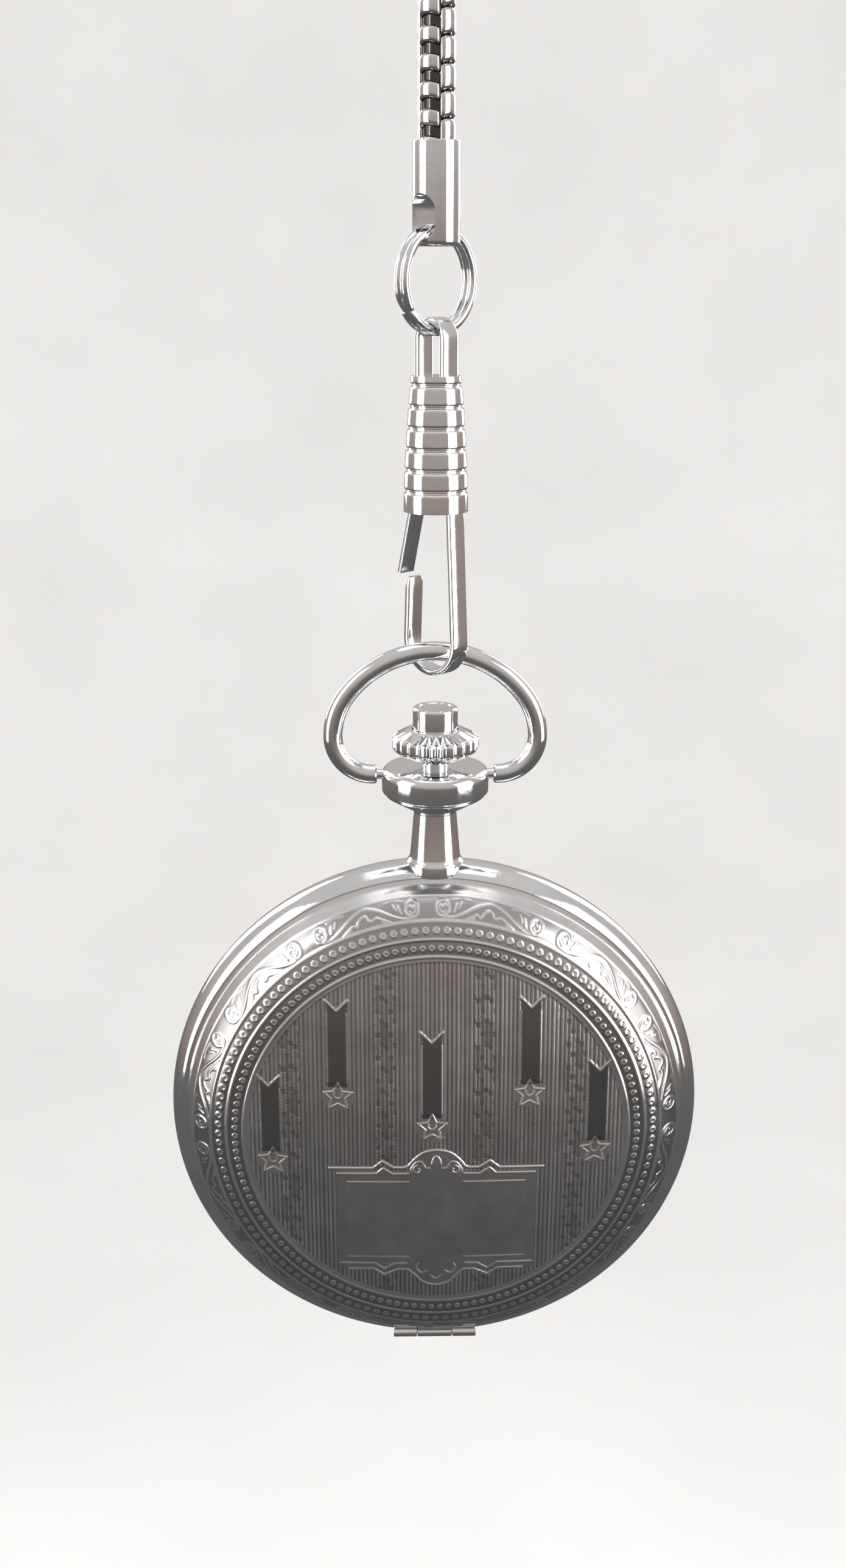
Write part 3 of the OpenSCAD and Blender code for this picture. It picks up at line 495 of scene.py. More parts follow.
def cap(name, closed_z, s, node, turn):
    """A tube with one closed end, slotted for the split ring; s is 1 when the closed end is below."""
    across, through = turn
    prof = rounded([(0, 0), (CAP_R, 0), (CAP_R, CAP_H), (CAP_BORE_R, CAP_H), (CAP_BORE_R, CAP_FLOOR),
                    (0, CAP_FLOOR)], [0, 0.4, 0.12, 0.08, 0.05, 0])
    prof[:, 1] = closed_z + s * prof[:, 1]
    o = turned(name, prof, "chrome", "chain", [node], segs=160)
    slot_ends = [closed_z + s * z for z in CAP_SLOT]
    outline = []
    for start, end_z in ((0, max(slot_ends)), (math.pi, min(slot_ends))):
        for k in range(SLOT_STEPS + 1):
            t = start + math.pi * k / SLOT_STEPS
            outline.append((CAP_SLOT_R * math.cos(t), end_z + CAP_SLOT_R * math.sin(t)))
    v = [across * a + through * b + UP * z for b in (-CUTTER, CUTTER) for a, z in outline]
    m = len(outline)
    f = [tuple(range(m)), tuple(range(m, 2 * m))]
    f += [(k, (k + 1) % m, m + (k + 1) % m, m + k) for k in range(m)]
    cut(o, fix(obj(name + "_tool", v, f, "chrome", None)))


cap("lower_cap_tube", LOWER_CAP_Z, 1, "lower_end_cap", LOWER)
cap("upper_cap_tube", UPPER_CAP_Z, -1, "upper_end_cap", UPPER)

RING_R, RING_WIRE_R, RING_POINTS = 3.8, 0.35, 340
RING_START = 215
RING_OFFSET = 0.34           # of each turn from the middle


def ring(name, z, body, node, turn):
    """Two turns of wire, which cross over at one place."""
    across, through = turn
    n = RING_POINTS
    t = np.linspace(0, 2, n)
    ang = 2 * math.pi * t + math.radians(RING_START)
    step = np.clip((t - 0.95) / 0.1, 0, 1)
    off = -RING_OFFSET + 2 * RING_OFFSET * step * step * (3 - 2 * step)
    path = (np.cos(ang)[:, None] * through * RING_R + off[:, None] * across
            + np.sin(ang)[:, None] * UP * RING_R + UP * z)
    ends = np.ones(n)
    ends[0] = ends[-1] = 0.7
    sweep(name, path, circle(RING_WIRE_R, 20), "chrome", body, across, [node], ends)


ring("lower_ring_wire", LOWER_RING_Z, "lower_ring", "lower_split_ring", LOWER)
ring("upper_ring_wire", UPPER_RING_Z, "upper_ring", "upper_split_ring", UPPER)

STRIP = round_rect(STRIP_T, STRIP_W, 0.14)
LOOP_R, LOOP_Z = 1.35, 24.03
STRIP_STEP = 0.5
SLEEVE_FOOT, SLEEVE_H = 10.6, 10.6
SLEEVE_R, SLEEVE_TAPER, SLEEVE_FOOT_R, SLEEVE_TOP_R = 2.6, 0.6, 2.5, 1.9
RIBS, RIB_GROOVE, RIB_GROOVE_W = 6, 0.2, 0.085
GATE = [(-2.2, 10.4), (-2.55, 8.98), (-3.0, 7.15), (-3.45, 5.3)]


def clip(tag, z0, s, body, gate_body, turn):
    """A strip bent into a loop and a hook, in a ribbed sleeve; s is 1 with the hook below and -1 above."""
    across, through = turn
    path = joined(
        [(-LOOP_R, 18.9), (-LOOP_R, LOOP_Z)], arc(0, LOOP_Z, LOOP_R, 180, 0, 28),
        [(LOOP_R, LOOP_Z), (LOOP_R, 18.7), (1.5, 17.0), (2.1, 10.6), (HOOK_R, 0)],
        arc(0, 0, HOOK_R, 0, -180, 40), [(-HOOK_R, 0), (-2.42, 5.0)])
    # even steps along straight stretches keep the section true
    dense = [path[0]]
    for a, b in zip(path[:-1], path[1:]):
        k = max(1, int(np.linalg.norm(b - a) / STRIP_STEP))
        dense += [a + (b - a) * i / k for i in range(1, k + 1)]
    world = np.array([across * p[0] + UP * (z0 + s * p[1]) for p in dense])
    ends = np.ones(len(world))
    ends[-1] = 0.8
    sweep(tag + "_clip_strip", world, STRIP, "chrome", body, through, [tag + "_clip_wire"], ends)

    t = np.linspace(0, 1, 260)
    r = SLEEVE_R - SLEEVE_TAPER * t ** 1.6
    pitch = (SLEEVE_H - 0.7) / RIBS / SLEEVE_H
    phase = (t / pitch) % 1.0
    groove = np.exp(-((np.minimum(phase, 1 - phase)) / RIB_GROOVE_W) ** 2)
    r = r - RIB_GROOVE * groove * (t > 0.03) * (t < 0.99)
    head = SLEEVE_FOOT + SLEEVE_H
    prof = [(0, SLEEVE_FOOT), (SLEEVE_FOOT_R, SLEEVE_FOOT), *zip(r, SLEEVE_FOOT + t * SLEEVE_H),
            (SLEEVE_TOP_R, head), (0, head)]
    prof = np.array(prof)
    prof[:, 1] = z0 + s * prof[:, 1]
    turned(tag + "_clip_barrel", prof, "chrome", body, [tag + "_clip_sleeve"], segs=160, sharp=50)

    world = np.array([across * p[0] + UP * (z0 + s * p[1]) for p in GATE])
    sweep(tag + "_clip_tongue", world, round_rect(0.46, 1.6, 0.1), "steel", gate_body, through,
          [tag + "_clip_gate"])


clip("lower", HOOK_Z, 1, "lower_clip", "lower_gate", LOWER)
clip("upper", 0.0, -1, "upper_clip", "upper_gate", UPPER)

# ---------------------------------------------------------------- bow


BOW_HALF_W, BOW_RISE, BOW_CORNER_R, BOW_SHOULDER_R = 8.6, 10.6, 3.3, 6.0
BOW_END_SCALE, BOW_END_RUN = 0.86, 0.35
BOW_PIN_R = 0.42


def bow():
    """Wire from pin to pin: a corner, a shoulder and a flat top arc, mirrored."""
    hw, rise, cr, sr = BOW_HALF_W, BOW_RISE, BOW_CORNER_R, BOW_SHOULDER_R
    turn = 90 - 2 * math.degrees(math.atan((rise - cr - sr) / (hw - sr)))
    tr = sr + (hw - sr) / math.cos(math.radians(turn))
    cz = PIN_Z + cr
    right = joined(
        [(4.95, PIN_Z), (5.3, PIN_Z)], arc(hw - cr, cz, cr, -90, 0, 30), arc(hw - sr, cz, sr, 0, turn, 20),
        arc(0, cz - (tr - sr) * math.sin(math.radians(turn)), tr, turn, 90, 40))
    left = right[::-1] * [-1, 1]
    flat = joined(right, left)
    path = np.array([(p[0], 0, p[1]) for p in flat])
    near_start = path[:1] + (path[1] - path[0]) * BOW_END_RUN
    near_end = path[-1:] - (path[-1] - path[-2]) * BOW_END_RUN
    path = np.vstack([path[:1], near_start, path[1:-1], near_end, path[-1:]])
    ends = np.ones(len(path))
    ends[0] = ends[-1] = BOW_END_SCALE
    sweep("bow_wire", path, circle(BOW_WIRE_R, 40), "chrome", "bow", (0, 1, 0), ["bow"], ends)
    for s, tag in ((1, "right"), (-1, "left")):
        cylinder_between("bow_pin_" + tag, (s * 3.6, 0, PIN_Z), (s * 5.0, 0, PIN_Z), BOW_PIN_R, "bow")


bow()

# ---------------------------------------------------------------- case

BAND_BORE_R, BAND_BACK = 20.45, 2.5
band = rounded([(BAND_BORE_R, -BAND_BACK), (BAND_BORE_R, 2.3), (21.9, 2.3), (22.35, 2.02)], [0, 0.1, 0.1, 0])
outer = arc(21.0, 0, 2.5, 54, -84, 60)
back = np.array([(21.2, -BAND_BACK)])
turned("band_ring", np.vstack([band[1:], outer, back, band[:1]]), "chrome", "case", ["case_band"],
       "front", segs=360)
HINGE_Y, HINGE_F, KNUCKLE_R = -22.4, 2.4, 0.5
for s, tag in ((1, "right"), (-1, "left")):
    cylinder_between("band_knuckle_" + tag, (s * 1.65, -HINGE_F, CASE_Z + HINGE_Y),
                     (s * 3.8, -HINGE_F, CASE_Z + HINGE_Y), KNUCKLE_R, "case")

pendant = rounded([
    (0, 22.4), (2.45, 22.4), (2.4, 23.45), (2.15, 23.75), (1.8, 27.9), (1.95, 28.05), (3.1, 28.7), (4.2, 29.35),
    (4.3, 29.55), (4.5, 29.7), (4.53, 31.3), (4.2, 31.75), (3.3, 31.8), (0, 31.8)],
    [0, 0.1, 0.15, 0.25, 0.12, 0.15, 0.6, 0.1, 0.08, 0.08, 0.25, 0.25, 0.2, 0], 6)
pendant[:, 1] += CASE_Z
turned("pendant_bulb", pendant, "chrome", "case", ["pendant"], segs=200, sharp=30)


FLUTES, FLUTE_COLS = 24, 14
FLUTE_DEPTH, FLUTE_FROM_R, FLUTE_FADE = 0.34, 3.28, 0.3


def crown():
    """Fluted knob: a grid round the profile, with flutes cut into its side."""
    prof = rounded([
        (1.05, 32.75), (1.05, 32.32), (1.6, 32.32), (3.5, 33.25), (3.66, 33.45), (3.66, 34.3), (3.45, 34.5),
        (2.2, 35.14), (1.95, 35.14), (1.95, 33.4)],
        [0, 0.05, 0.1, 0.2, 0.15, 0.2, 0.2, 0.1, 0.05, 0], 5)
    cols = FLUTES * FLUTE_COLS
    a = np.linspace(0, 2 * math.pi, cols, endpoint=False)
    flute = np.abs(np.cos(FLUTES / 2 * a)) ** 1.6
    r, h = prof[:, 0:1], prof[:, 1:2]
    depth = FLUTE_DEPTH * np.clip((r - FLUTE_FROM_R) / FLUTE_FADE, 0, 1)
    R = r - depth * flute
    v = np.stack([R * np.cos(a), R * np.sin(a), h + 0 * a + CASE_Z], -1).reshape(-1, 3)
    faces = grid_faces(len(prof), cols, wrap_rows=True)
    fix(obj("crown_knob", v, faces, "chrome", "crown", ["crown"], 50))


crown()
button = rounded([
    (0, 34.11), (1.88, 34.11), (1.88, 36.82), (1.74, 36.99), (1.4, 36.99), (1.3, 36.89), (0, 36.89)],
    [0, 0.05, 0.15, 0.08, 0.06, 0.06, 0], 5)
button[:, 1] += CASE_Z
turned("button_head", button, "chrome", "button", ["push_button"], segs=128)
rod = rounded([(0, 17), (0.3, 17), (0.3, 20.4), (0.55, 20.4), (0.55, 34.09), (0, 34.09)],
              [0, 0.05, 0.02, 0.05, 0.05, 0])
rod[:, 1] += CASE_Z
turned("button_push_rod", rod, "steel", "button", ["button_rod"], segs=48)

# ---------------------------------------------------------------- engraved lid

LID_RISE, LID_CROWN_R, LID_SHOULDER_R, LID_SHOULDER_AT, LID_FOOT = 6.9, 130.0, 6.0, 16.6, 2.35
COVER_WALL = 0.55
RELIEF = 0.11                # from the lowest ground to the highest line
LID_COLS = 1320
FIELD_R, LINE_PITCH = 16.3, 0.37
BRICK_ROWS, BRICK_HALF_W, BRICK_PITCH, BRICK_GAP, BRICK_STAGGER = (-12.6, -4.3, 4.0, 12.0), 0.92, 2.1, 0.45, 0.9
BAR_HALF_W = 0.82
STAR_POINT, STAR_NOTCH = 1.3, 0.62
SCROLLS, SCROLL_R, SCROLL_START = 12, 20.55, 107
# rings as radius, width and height; rows of beads as radius, count and size
RINGS = ((16.75, 0.16, 1.0), (18.25, 0.15, 0.95), (19.7, 0.16, 1.0), (21.45, 0.16, 0.9))
BEADS = ((17.5, 142, 0.27), (18.97, 132, 0.32))


def lid_height(r, set_in=0.0):
    """Height of the lid's plain surface over the middle of the band."""
    dome_r, shoulder_r = LID_CROWN_R - set_in, LID_SHOULDER_R - set_in
    dome_z = LID_RISE - LID_CROWN_R
    shoulder_z = dome_z + math.sqrt((LID_CROWN_R - LID_SHOULDER_R) ** 2 - LID_SHOULDER_AT ** 2)
    join = LID_SHOULDER_AT * dome_r / (dome_r - shoulder_r)
    dome = dome_z + np.sqrt(np.maximum(dome_r ** 2 - r ** 2, 0))
    edge = shoulder_z + np.sqrt(np.maximum(shoulder_r ** 2 - (r - LID_SHOULDER_AT) ** 2, 0))
    return np.where(r < join, dome, edge)


def lid_edge(set_in=0.0):
    """Radius at which that surface reaches the lid's foot."""
    shoulder_z = LID_RISE - LID_CROWN_R + math.sqrt((LID_CROWN_R - LID_SHOULDER_R) ** 2 - LID_SHOULDER_AT ** 2)
    return LID_SHOULDER_AT + math.sqrt((LID_SHOULDER_R - set_in) ** 2 - (LID_FOOT - shoulder_z) ** 2)


def smooth_line(points, step=0.25):
    """A curve through the points."""
    p = np.array(points, float)
    if len(p) < 3:
        return p
    q = np.vstack([2 * p[0] - p[1], p, 2 * p[-1] - p[-2]])
    out = []
    for k in range(1, len(q) - 2):
        n = max(2, int(np.linalg.norm(q[k + 1] - q[k]) / step))
        for t in np.linspace(0, 1, n, endpoint=False):
            out.append(0.5 * (2 * q[k] + (q[k + 1] - q[k - 1]) * t
                              + (2 * q[k - 1] - 5 * q[k] + 4 * q[k + 1] - q[k + 2]) * t * t
                              + (3 * q[k] - q[k - 1] - 3 * q[k + 1] + q[k + 2]) * t ** 3))
    return np.array(out + [q[-2]])


def spiral(cx, cy, r0, a0, turns, r1=0.15, n=26):
    t = np.linspace(0, 1, n)
    a = np.radians(a0) + 2 * math.pi * turns * t
    r = r0 + (r1 - r0) * t
    return np.stack([cx + r * np.cos(a), cy + r * np.sin(a)], -1)


def mirrored(line):
    return [(-x, y) for x, y in line][::-1]


class Relief:
    """Raised lines on the lid, kept as a height from 0 to 1 at each of its points."""

    def __init__(self, x, y):
        self.x, self.y = x, y
        self.h = np.zeros_like(x)

    def line(self, pts, width=0.16, height=1.0):
        pts = np.asarray(pts, float)
        for (ax, ay), (bx, by) in zip(pts[:-1], pts[1:]):
            m = 3 * width
            near = ((self.x > min(ax, bx) - m) & (self.x < max(ax, bx) + m)
                    & (self.y > min(ay, by) - m) & (self.y < max(ay, by) + m))
            idx = np.nonzero(near)[0]
            if not len(idx):
                continue
            px, py = self.x[idx] - ax, self.y[idx] - ay
            dx, dy = bx - ax, by - ay
            t = np.clip((px * dx + py * dy) / max(dx * dx + dy * dy, 1e-9), 0, 1)
            d2 = (px - t * dx) ** 2 + (py - t * dy) ** 2
            self.h[idx] = np.maximum(self.h[idx], height * np.exp(-d2 / width ** 2))


def scroll(art, centre):
    """One scroll of the lid's border, drawn as (along, up) and bent round the rim at an angle in radians."""
    def draw(line, width, height):
        bent = []
        for along, up in line:
            t = centre - along / SCROLL_R
            bent.append(((SCROLL_R + up) * math.cos(t), (SCROLL_R + up) * math.sin(t)))
        art.line(bent, width, height)

    draw(smooth_line([
        (-4.05, -0.55), (-3.3, -0.58), (-2.4, -0.3), (-1.4, 0.2), (-0.6, 0.5), (0, 0.6), (0.6, 0.5), (1.4, 0.2),
        (2.4, -0.3), (3.3, -0.58), (4.05, -0.55)]), 0.11, 1.0)
    for s in (-1, 1):
        draw(spiral(s * 4.05, 0.05, 0.6, -90, s * 0.98, 0.5, 26), 0.11, 1.0)
        leaf = [(s * 3.62, 0.12), (s * 3.9, 0.3), (s * 4.1, 0.1), (s * 4.3, 0.28), (s * 4.35, -0.05),
                (s * 4.05, -0.28), (s * 3.85, -0.1)]
        draw(smooth_line(leaf), 0.09, 0.8)
        draw([(s * 1.4, -0.55), (s * 2.2, -0.8)], 0.09, 0.8)
        draw([(s * 2.9, 0.32), (s * 3.15, -0.2)], 0.1, 0.85)
        draw([(s * 2.5, 0.42), (s * 2.75, 0.05)], 0.09, 0.75)
        draw(smooth_line([(s * 3.3, 0.6), (s * 2.5, 0.7), (s * 1.7, 0.62)]), 0.09, 0.6)
    draw(smooth_line([
        (-2.4, -0.82), (-1.5, -0.42), (-1.1, -0.25), (-0.85, -0.45), (-0.6, -0.1), (-0.25, 0.12), (0.1, 0.1),
        (0.3, -0.2), (0.5, -0.3), (0.9, -0.15), (1.4, -0.35), (2.2, -0.72)]), 0.1, 0.9)


def lid():
    """The lid: its engraved top, rim and plain inside, as one closed mesh."""
    segs = LID_COLS
    edge = lid_edge()
    r_in = np.arange(0.35, 16.55, 0.085)
    r_out = np.arange(16.55, edge, 0.07)
    radii = np.concatenate([r_in, r_out, [edge]])
    a = np.linspace(0, 2 * math.pi, segs, endpoint=False)
    R, A = np.meshgrid(radii, a, indexing="ij")
    X, Y = (R * np.cos(A)).ravel(), (R * np.sin(A)).ravel()
    r = R.ravel()
    art = Relief(X, Y)
    level = np.full_like(X, 0.55)

    # field of fine upright lines, inside the innermost ring
    field = r < FIELD_R
    k = np.floor(X / LINE_PITCH)
    wave = 0.5 + 0.5 * np.cos(2 * math.pi * X / LINE_PITCH)
    strength = 0.75 + 0.25 * np.sin(k * 2.399) * np.sin(k * 0.71 + 1.3)
    brick = np.zeros_like(X)
    along = Y + BRICK_STAGGER * np.mod(k, 3)
    row = np.floor(along / BRICK_PITCH)
    gap = np.mod(along, BRICK_PITCH) < BRICK_GAP
    for centre in BRICK_ROWS:
        inside = np.abs(X - centre) < BRICK_HALF_W
        brick = np.where(inside & gap, 1, brick)
        brick = np.where(inside & ~gap & (np.mod(row + k, 4) == 0), 0.5, brick)
    stripes = 0.14 + 0.5 * wave * strength * (1 - 0.8 * brick)
    level = np.where(field, stripes, level)
    tone = np.ones_like(X)
    satin = np.where(field, 1.0, 0.35)

    # plain bars under each chevron, chevrons and stars
    stars = [(-14.2, -2.2), (-8.45, 4.15), (-0.35, 1.25), (8.0, 4.3), (13.8, -1.4)]
    tips = [(-14.45, 4.9), (-8.5, 11.9), (-0.4, 9.1), (8.1, 12.1), (14.1, 6.1)]
    for (sx, sy), (tx, ty) in zip(stars, tips):
        mid_x = (sx + tx) / 2
        bar = (np.abs(X - mid_x) < BAR_HALF_W) & (Y > sy + 0.9) & (Y < ty + 0.15 + np.abs(X - tx))
        level = np.where(bar & field, 0.5, level)
        # painted dark reflection: the polished bars are darkened through the tone mark
        tone = np.where(bar & field, 0.42, tone)
        satin = np.where(bar & field, 0.0, satin)
        plain = np.hypot(X - sx, Y - sy) < 1.35
        level = np.where(plain & field, 0.38, level)
        art.line([(tx - 0.98, ty + 1.02), (tx, ty), (tx + 0.98, ty + 1.02)], 0.15)
        for side in (-1, 1):
            x = mid_x + side * BAR_HALF_W
            art.line([(x, ty - 0.2), (x, sy + 1.3)], 0.11, 0.7)
        corner = []
        for i in range(11):
            rad = STAR_POINT if i % 2 == 0 else STAR_NOTCH
            t = math.radians(90 + 36 * i)
            corner.append((sx + rad * math.cos(t), sy + rad * math.sin(t)))
        art.line(corner, 0.11, 0.9)
        art.line(spiral(sx, sy + 0.2, 0.36, 160, 0.62, 0.36, 9), 0.1, 0.8)

    # cartouche: plain inside, double lines with peaks and an arch above and below
    inner = (np.abs(X - 0.05) < 7.75) & (Y < -4.1) & (Y > -11.95)
    frame_zone = ((np.abs(X) < 8.7) & (Y < -3.0) & (Y > -13.2)
                  | (np.hypot(X, (Y + 3.6) / 1.05) < 2.5) & (Y > -3.2)
                  | (np.hypot(X, (Y + 12.2) / 1.05) < 2.5) & (Y < -12.5))
    level = np.where(frame_zone, 0.4, level)
    # painted dark reflection, weaker than on the bars: the cartouche's frame and plain inside are darkened
    # through the tone mark
    tone = np.where(frame_zone, 0.86, tone)
    level = np.where(inner, 0.42, level)
    tone = np.where(inner, 0.82, tone)
    level = np.where(r > FIELD_R, 0.55, level)
    arch = smooth_line([
        (-2.9, -2.62), (-2.45, -2.45), (-1.9, -1.8), (-1.1, -1.15), (0.05, -0.92), (1.2, -1.15), (2.0, -1.8),
        (2.5, -2.45), (2.95, -2.62)])
    top_a = [(-9.3, -2.75), (-5.5, -2.68), (-4.7, -2.0), (-3.75, -2.62), (-2.9, -2.62)]
    art.line(joined(top_a, arch, mirrored(top_a)), 0.13)
    for s in (-1, 1):
        art.line([(s * 8.6, -3.28), (s * 5.2, -3.22), (s * 4.65, -2.7), (s * 3.8, -3.26), (s * 2.4, -3.22)],
                 0.12, 0.95)
        art.line([(s * 7.75, -4.1), (s * 2.4, -4.06)], 0.11, 0.85)
        art.line([(s * 7.75, -11.9), (s * 2.4, -11.9)], 0.11, 0.85)
        art.line([(s * 8.5, -12.62), (s * 5.4, -12.6), (s * 4.6, -13.2), (s * 3.7, -12.62), (s * 2.6, -12.6)],
                 0.12, 0.95)
        art.line([(s * 7.7, -13.22), (s * 5.5, -13.2), (s * 4.6, -13.85), (s * 3.4, -13.25), (s * 2.5, -13.25)],
                 0.12, 0.95)
        art.line([(s * 7.6, -4.1), (s * 7.6, -11.9)], 0.09, 0.5)
        curl = [(s * 2.15, -3.15), (s * 2.2, -2.75), (s * 1.75, -2.1), (s * 1.25, -2.1), (s * 0.95, -2.65),
                (s * 0.55, -2.7)]
        art.line(smooth_line(curl), 0.11, 0.95)
        art.line(spiral(s * 1.65, -2.85, 0.42, 90, -s * 0.85, 0.2, 14), 0.1, 0.9)
        low = [(s * 1.55, -12.6), (s * 1.75, -13.1), (s * 1.3, -13.65), (s * 0.8, -13.4)]
        art.line(smooth_line(low), 0.11, 0.95)
    art.line(smooth_line([(-0.4, -2.3), (-0.25, -1.75), (0.0, -1.5), (0.28, -1.75), (0.42, -2.3)]), 0.11, 0.95)
    art.line(smooth_line([(-0.45, -13.95), (0, -14.3), (0.45, -13.95)]), 0.11, 0.95)
    foot = [(-2.5, -13.25), (-1.95, -13.75), (-1.1, -14.65), (0, -14.95), (1.1, -14.65), (1.95, -13.75),
            (2.5, -13.25)]
    art.line(smooth_line(foot), 0.12, 0.95)

    # rings and rows of beads
    for ring_r, w, h in RINGS:
        art.h = np.maximum(art.h, h * np.exp(-((r - ring_r) / w) ** 2))
    groove = (r > 16.95) & (r < 19.5)
    level = np.where(groove, 0.25, level)
    ang = np.arctan2(Y, X)
    for row_r, count, size in BEADS:
        n = np.round(ang / (2 * math.pi) * count)
        da = (ang - n * 2 * math.pi / count) * r
        d = np.hypot(da, r - row_r)
        ring_bead = np.exp(-((d - size * 0.7) / 0.09) ** 2)
        ball = np.clip(1 - (d / size) ** 2, 0, 1) * 0.3
        art.h = np.maximum(art.h, np.maximum(ring_bead * 0.85, ball + 0.2 * (ball > 0)))

    # border of scrolls with a leaf in each curl
    level = np.where((r > 19.85) & (r < 21.35), 0.3, level)
    level = np.where(r > 21.6, 0.62, level)
    for n in range(SCROLLS):
        scroll(art, math.radians(SCROLL_START + 360 // SCROLLS * n))

    # relief: the height of the engraving, which the lid's material also turns into painted shade on its low
    # ground
    relief = np.clip(np.maximum(level, art.h), 0, 1)
    fade = np.clip((edge - r) / 0.25, 0, 1)
    top = lid_height(r) - RELIEF + RELIEF * relief * fade
    V = [np.stack([X, -top, Y + CASE_Z], -1)]

    # rim, inner surface and middle points
    inner_edge = lid_edge(COVER_WALL)
    inner_r = np.concatenate([[edge - 0.03, inner_edge], np.linspace(inner_edge - 0.3, 0.6, 44)])
    under = lid_height(np.minimum(inner_r, inner_edge), COVER_WALL)
    inner_h = np.where(inner_r >= inner_edge - 1e-6, LID_FOOT, under)
    IR, IA = np.meshgrid(inner_r, a, indexing="ij")
    IH = np.repeat(inner_h[:, None], segs, 1)
    V.append(np.stack([(IR * np.cos(IA)).ravel(), -IH.ravel(), (IR * np.sin(IA)).ravel() + CASE_Z], -1))
    V = np.vstack(V)
    rows = len(radii) + len(inner_r)
    quads = grid_faces(rows, segs)
    tris_top = [(len(V), k, (k + 1) % segs) for k in range(segs)]
    last = (rows - 1) * segs
    tris_low = [(len(V) + 1, last + (k + 1) % segs, last + k) for k in range(segs)]
    V = np.vstack([V, [[0, -(LID_RISE - RELIEF * 0.7), CASE_Z], [0, -(LID_RISE - COVER_WALL), CASE_Z]]])
    tone = np.maximum(tone, art.h)
    inside = len(inner_r) * segs + 2
    # the relief mark carries painted shade into the low ground, the tone mark painted dark reflection into the
    # bars and cartouche
    marks = {"relief": np.concatenate([relief, np.full(inside, 0.8)]),
             "tone": np.concatenate([tone, np.ones(inside)]),
             "satin": np.concatenate([satin, np.zeros(inside)])}
    triangles = np.vstack([quads[:, [0, 1, 2]], quads[:, [0, 2, 3]], np.array(tris_top), np.array(tris_low)])
    obj("engraved_lid", V, triangles, "lid", "lid", ["front_lid"], 75, marks=marks)


lid()
TAB_HALF_W = 1.6
cylinder_between("lid_knuckle", (-TAB_HALF_W, -HINGE_F, CASE_Z + HINGE_Y),
                 (TAB_HALF_W, -HINGE_F, CASE_Z + HINGE_Y), KNUCKLE_R, "lid")
block("lid_hinge_tab", (-TAB_HALF_W, HINGE_Y, HINGE_F), (TAB_HALF_W, HINGE_Y + 0.9, 2.8), "lid")
block("lid_lip", (-TAB_HALF_W, 20.4, 2.36), (TAB_HALF_W, 21.5, 2.65), "lid")

# ---------------------------------------------------------------- rear cover, bezel, crystal, dial

REAR_RISE, REAR_EDGE, REAR_LAND = 5.8, 22.0, 0.2
REAR_GROOVES, REAR_GROOVE, REAR_GROOVE_W = (19.6, 20.3), 0.07, 0.13
dome_rise = REAR_RISE - BAND_BACK - REAR_LAND
rear_r = (REAR_EDGE ** 2 + dome_rise ** 2) / (2 * dome_rise)
rr = np.linspace(0, 21.9, 120)
dome = REAR_RISE - rear_r + np.sqrt(rear_r ** 2 - rr ** 2)
for ring_r in REAR_GROOVES:
    dome = dome - REAR_GROOVE * np.exp(-((rr - ring_r) / REAR_GROOVE_W) ** 2)
top = np.stack([rr, -dome], -1)
ri = np.linspace(19.85, 0, 60)
inner = np.stack([ri, -(REAR_RISE - rear_r + np.sqrt((rear_r - COVER_WALL) ** 2 - ri ** 2))], -1)
rim = [(REAR_EDGE, -2.68), (21.98, -2.56), (20.4, -2.56), (20.4, -1.3), (19.9, -1.3), (19.9, -BAND_BACK)]
turned("rear_cover_dome", np.vstack([top, rim, inner]), "chrome", "rear_cover", ["rear_cover"],
       "front", segs=300)
bezel = rounded([(17, 1.35), (20.4, 1.35), (20.4, 2.25), (18.3, 3.75), (17.65, 3.75), (17.65, 2.8), (17, 2.8)],
                [0, 0.08, 0.1, 0.15, 0.1, 0, 0])
turned("bezel_ring", bezel, "chrome", "case", ["bezel"], "front", segs=240)
CRYSTAL_EDGE, CRYSTAL_SEAT, CRYSTAL_TOP, CRYSTAL_DOME_R = 17.28, 2.82, 5.1, 94
xr = np.linspace(0, CRYSTAL_EDGE, 60)
crystal_h = CRYSTAL_TOP - CRYSTAL_DOME_R + np.sqrt(CRYSTAL_DOME_R ** 2 - xr ** 2)
crystal = np.vstack([np.stack([xr, crystal_h], -1), [(CRYSTAL_EDGE, CRYSTAL_SEAT), (0, CRYSTAL_SEAT)]])
turned("crystal_glass", crystal, "glass", "case", ["crystal"], "front", segs=160)

DIAL_BACK, DIAL_FRONT, DIAL_R, DIAL_HOLE_R = 1.0, 1.3, 18.7, 1.05
TRACK_R, HOUR_MARK, MINUTE_MARK = 16.6, (0.16, 15.4), (0.07, 16.0)     # marks: half width, inner radius
NUMERAL_R, NUMERAL_SIZE = 12.9, 4.4


